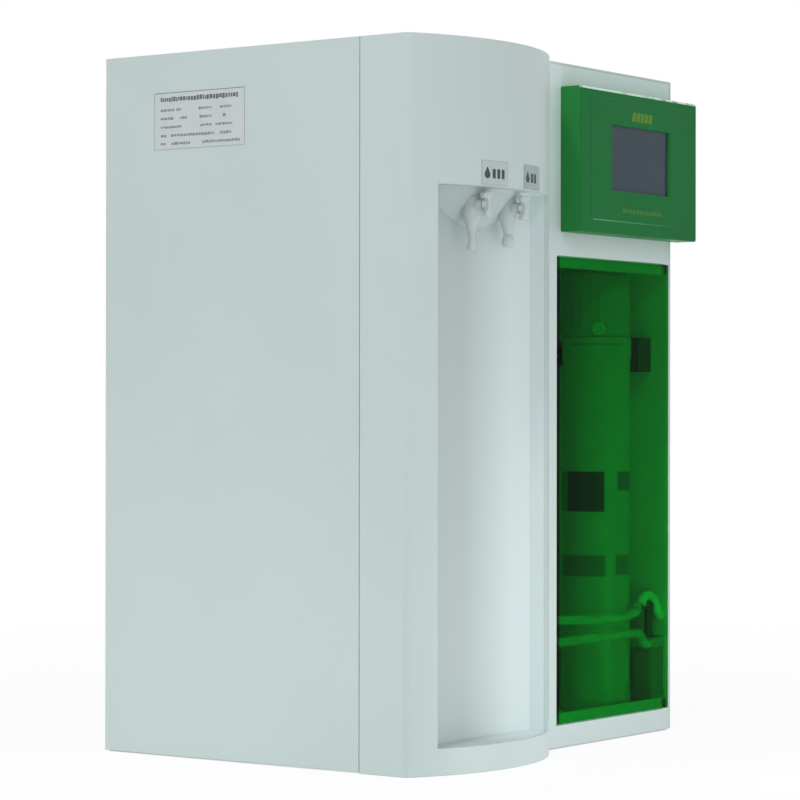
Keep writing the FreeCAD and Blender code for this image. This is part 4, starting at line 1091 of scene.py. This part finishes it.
stageSettings = {
    "floor": tone(248, 249, 249), "floorSize": 6.0, "glow": 0.92, "glowSpan": (0.5, 1.6),
    "ambient": (0.96, 1.0, 1.0, 1.0), "ambientStrength": 0.58,
    # name, azimuth, elevation, distance, size, power, the height it is aimed at
    "lamps": (("sideLamp", -77, 56, 3.0, 0.3, 19, 0.28), ("keyLamp", -40, 36, 3.0, 0.5, 6, 0.28),
              ("lowFront", -2, 2, 0.55, 0.1, 0.42, 0.02), ("lowSide", -100, 2, 0.62, 0.1, 0.19, 0.02)),
}


def makeFloor(s):
    bm = bmesh.new()
    bmesh.ops.create_circle(bm, cap_ends=True, segments=64, radius=s["floorSize"])
    mesh = bpy.data.meshes.new("floor")
    bm.to_mesh(mesh)
    bm.free()
    floor = bpy.data.objects.new("floor", mesh)
    bpy.context.scene.collection.objects.link(floor)
    f = Finish("floor_pale")
    f.set(colour=s["floor"], rough=0.8)
    glow = f.add("ShaderNodeEmission", {"Color": (1, 1, 1, 1), "Strength": 1.0})
    path = f.add("ShaderNodeLightPath")
    length = f.add("ShaderNodeVectorMath", {0: f.place}, operation="LENGTH").outputs["Value"]
    amount = f.remap(length, *s["glowSpan"], s["glow"], 1.0)
    seen = f.greater(path.outputs["Is Camera Ray"], path.outputs["Is Transmission Ray"])
    seen = f.greater(seen, path.outputs["Is Glossy Ray"])
    pick = f.add("ShaderNodeMixShader", {0: f.times(seen, amount), 1: f.shader.outputs[0],
                                         2: glow.outputs[0]})
    f.tree.links.new(pick.outputs[0], f.out.inputs[0])
    mesh.materials.append(f.material)


def makeWorld(s):
    world = bpy.data.worlds.new("studio")
    bpy.context.scene.world = world
    world.use_nodes = True
    tree = world.node_tree
    tree.nodes.clear()
    out = tree.nodes.new("ShaderNodeOutputWorld")
    soft = tree.nodes.new("ShaderNodeBackground")
    soft.inputs[0].default_value = s["ambient"]
    soft.inputs[1].default_value = s["ambientStrength"]
    white = tree.nodes.new("ShaderNodeBackground")
    white.inputs[0].default_value = (1, 1, 1, 1)
    white.inputs[1].default_value = 1.0
    path = tree.nodes.new("ShaderNodeLightPath")
    total = tree.nodes.new("ShaderNodeMath")
    total.operation = "MAXIMUM"
    both = tree.nodes.new("ShaderNodeMath")
    both.operation = "MAXIMUM"
    pick = tree.nodes.new("ShaderNodeMixShader")
    link = tree.links.new
    link(path.outputs["Is Camera Ray"], both.inputs[0])
    link(path.outputs["Is Transmission Ray"], both.inputs[1])
    link(both.outputs[0], total.inputs[0])
    link(path.outputs["Is Glossy Ray"], total.inputs[1])
    link(total.outputs[0], pick.inputs[0])
    link(soft.outputs[0], pick.inputs[1])
    link(white.outputs[0], pick.inputs[2])
    link(pick.outputs[0], out.inputs[0])


def makeLamp(name, azimuth, elevation, distance, size, power, aim):
    data = bpy.data.lights.new(name, "AREA")
    data.shape = "DISK"
    data.size = size
    data.energy = power
    lamp = bpy.data.objects.new(name, data)
    bpy.context.scene.collection.objects.link(lamp)
    a, e = math.radians(azimuth), math.radians(elevation)
    away = Vector((math.sin(a) * math.cos(e), -math.cos(a) * math.cos(e), math.sin(e)))
    lamp.location = Vector((0, 0, aim)) + away * distance
    lamp.rotation_euler = (-away).to_track_quat("-Z", "Y").to_euler()
    lamp.visible_camera = False


makeFloor(stageSettings)
makeWorld(stageSettings)
for lampSettings in stageSettings["lamps"]:
    makeLamp(*lampSettings)
bpy.context.scene.view_settings.view_transform = "Standard"
print("stage lit")
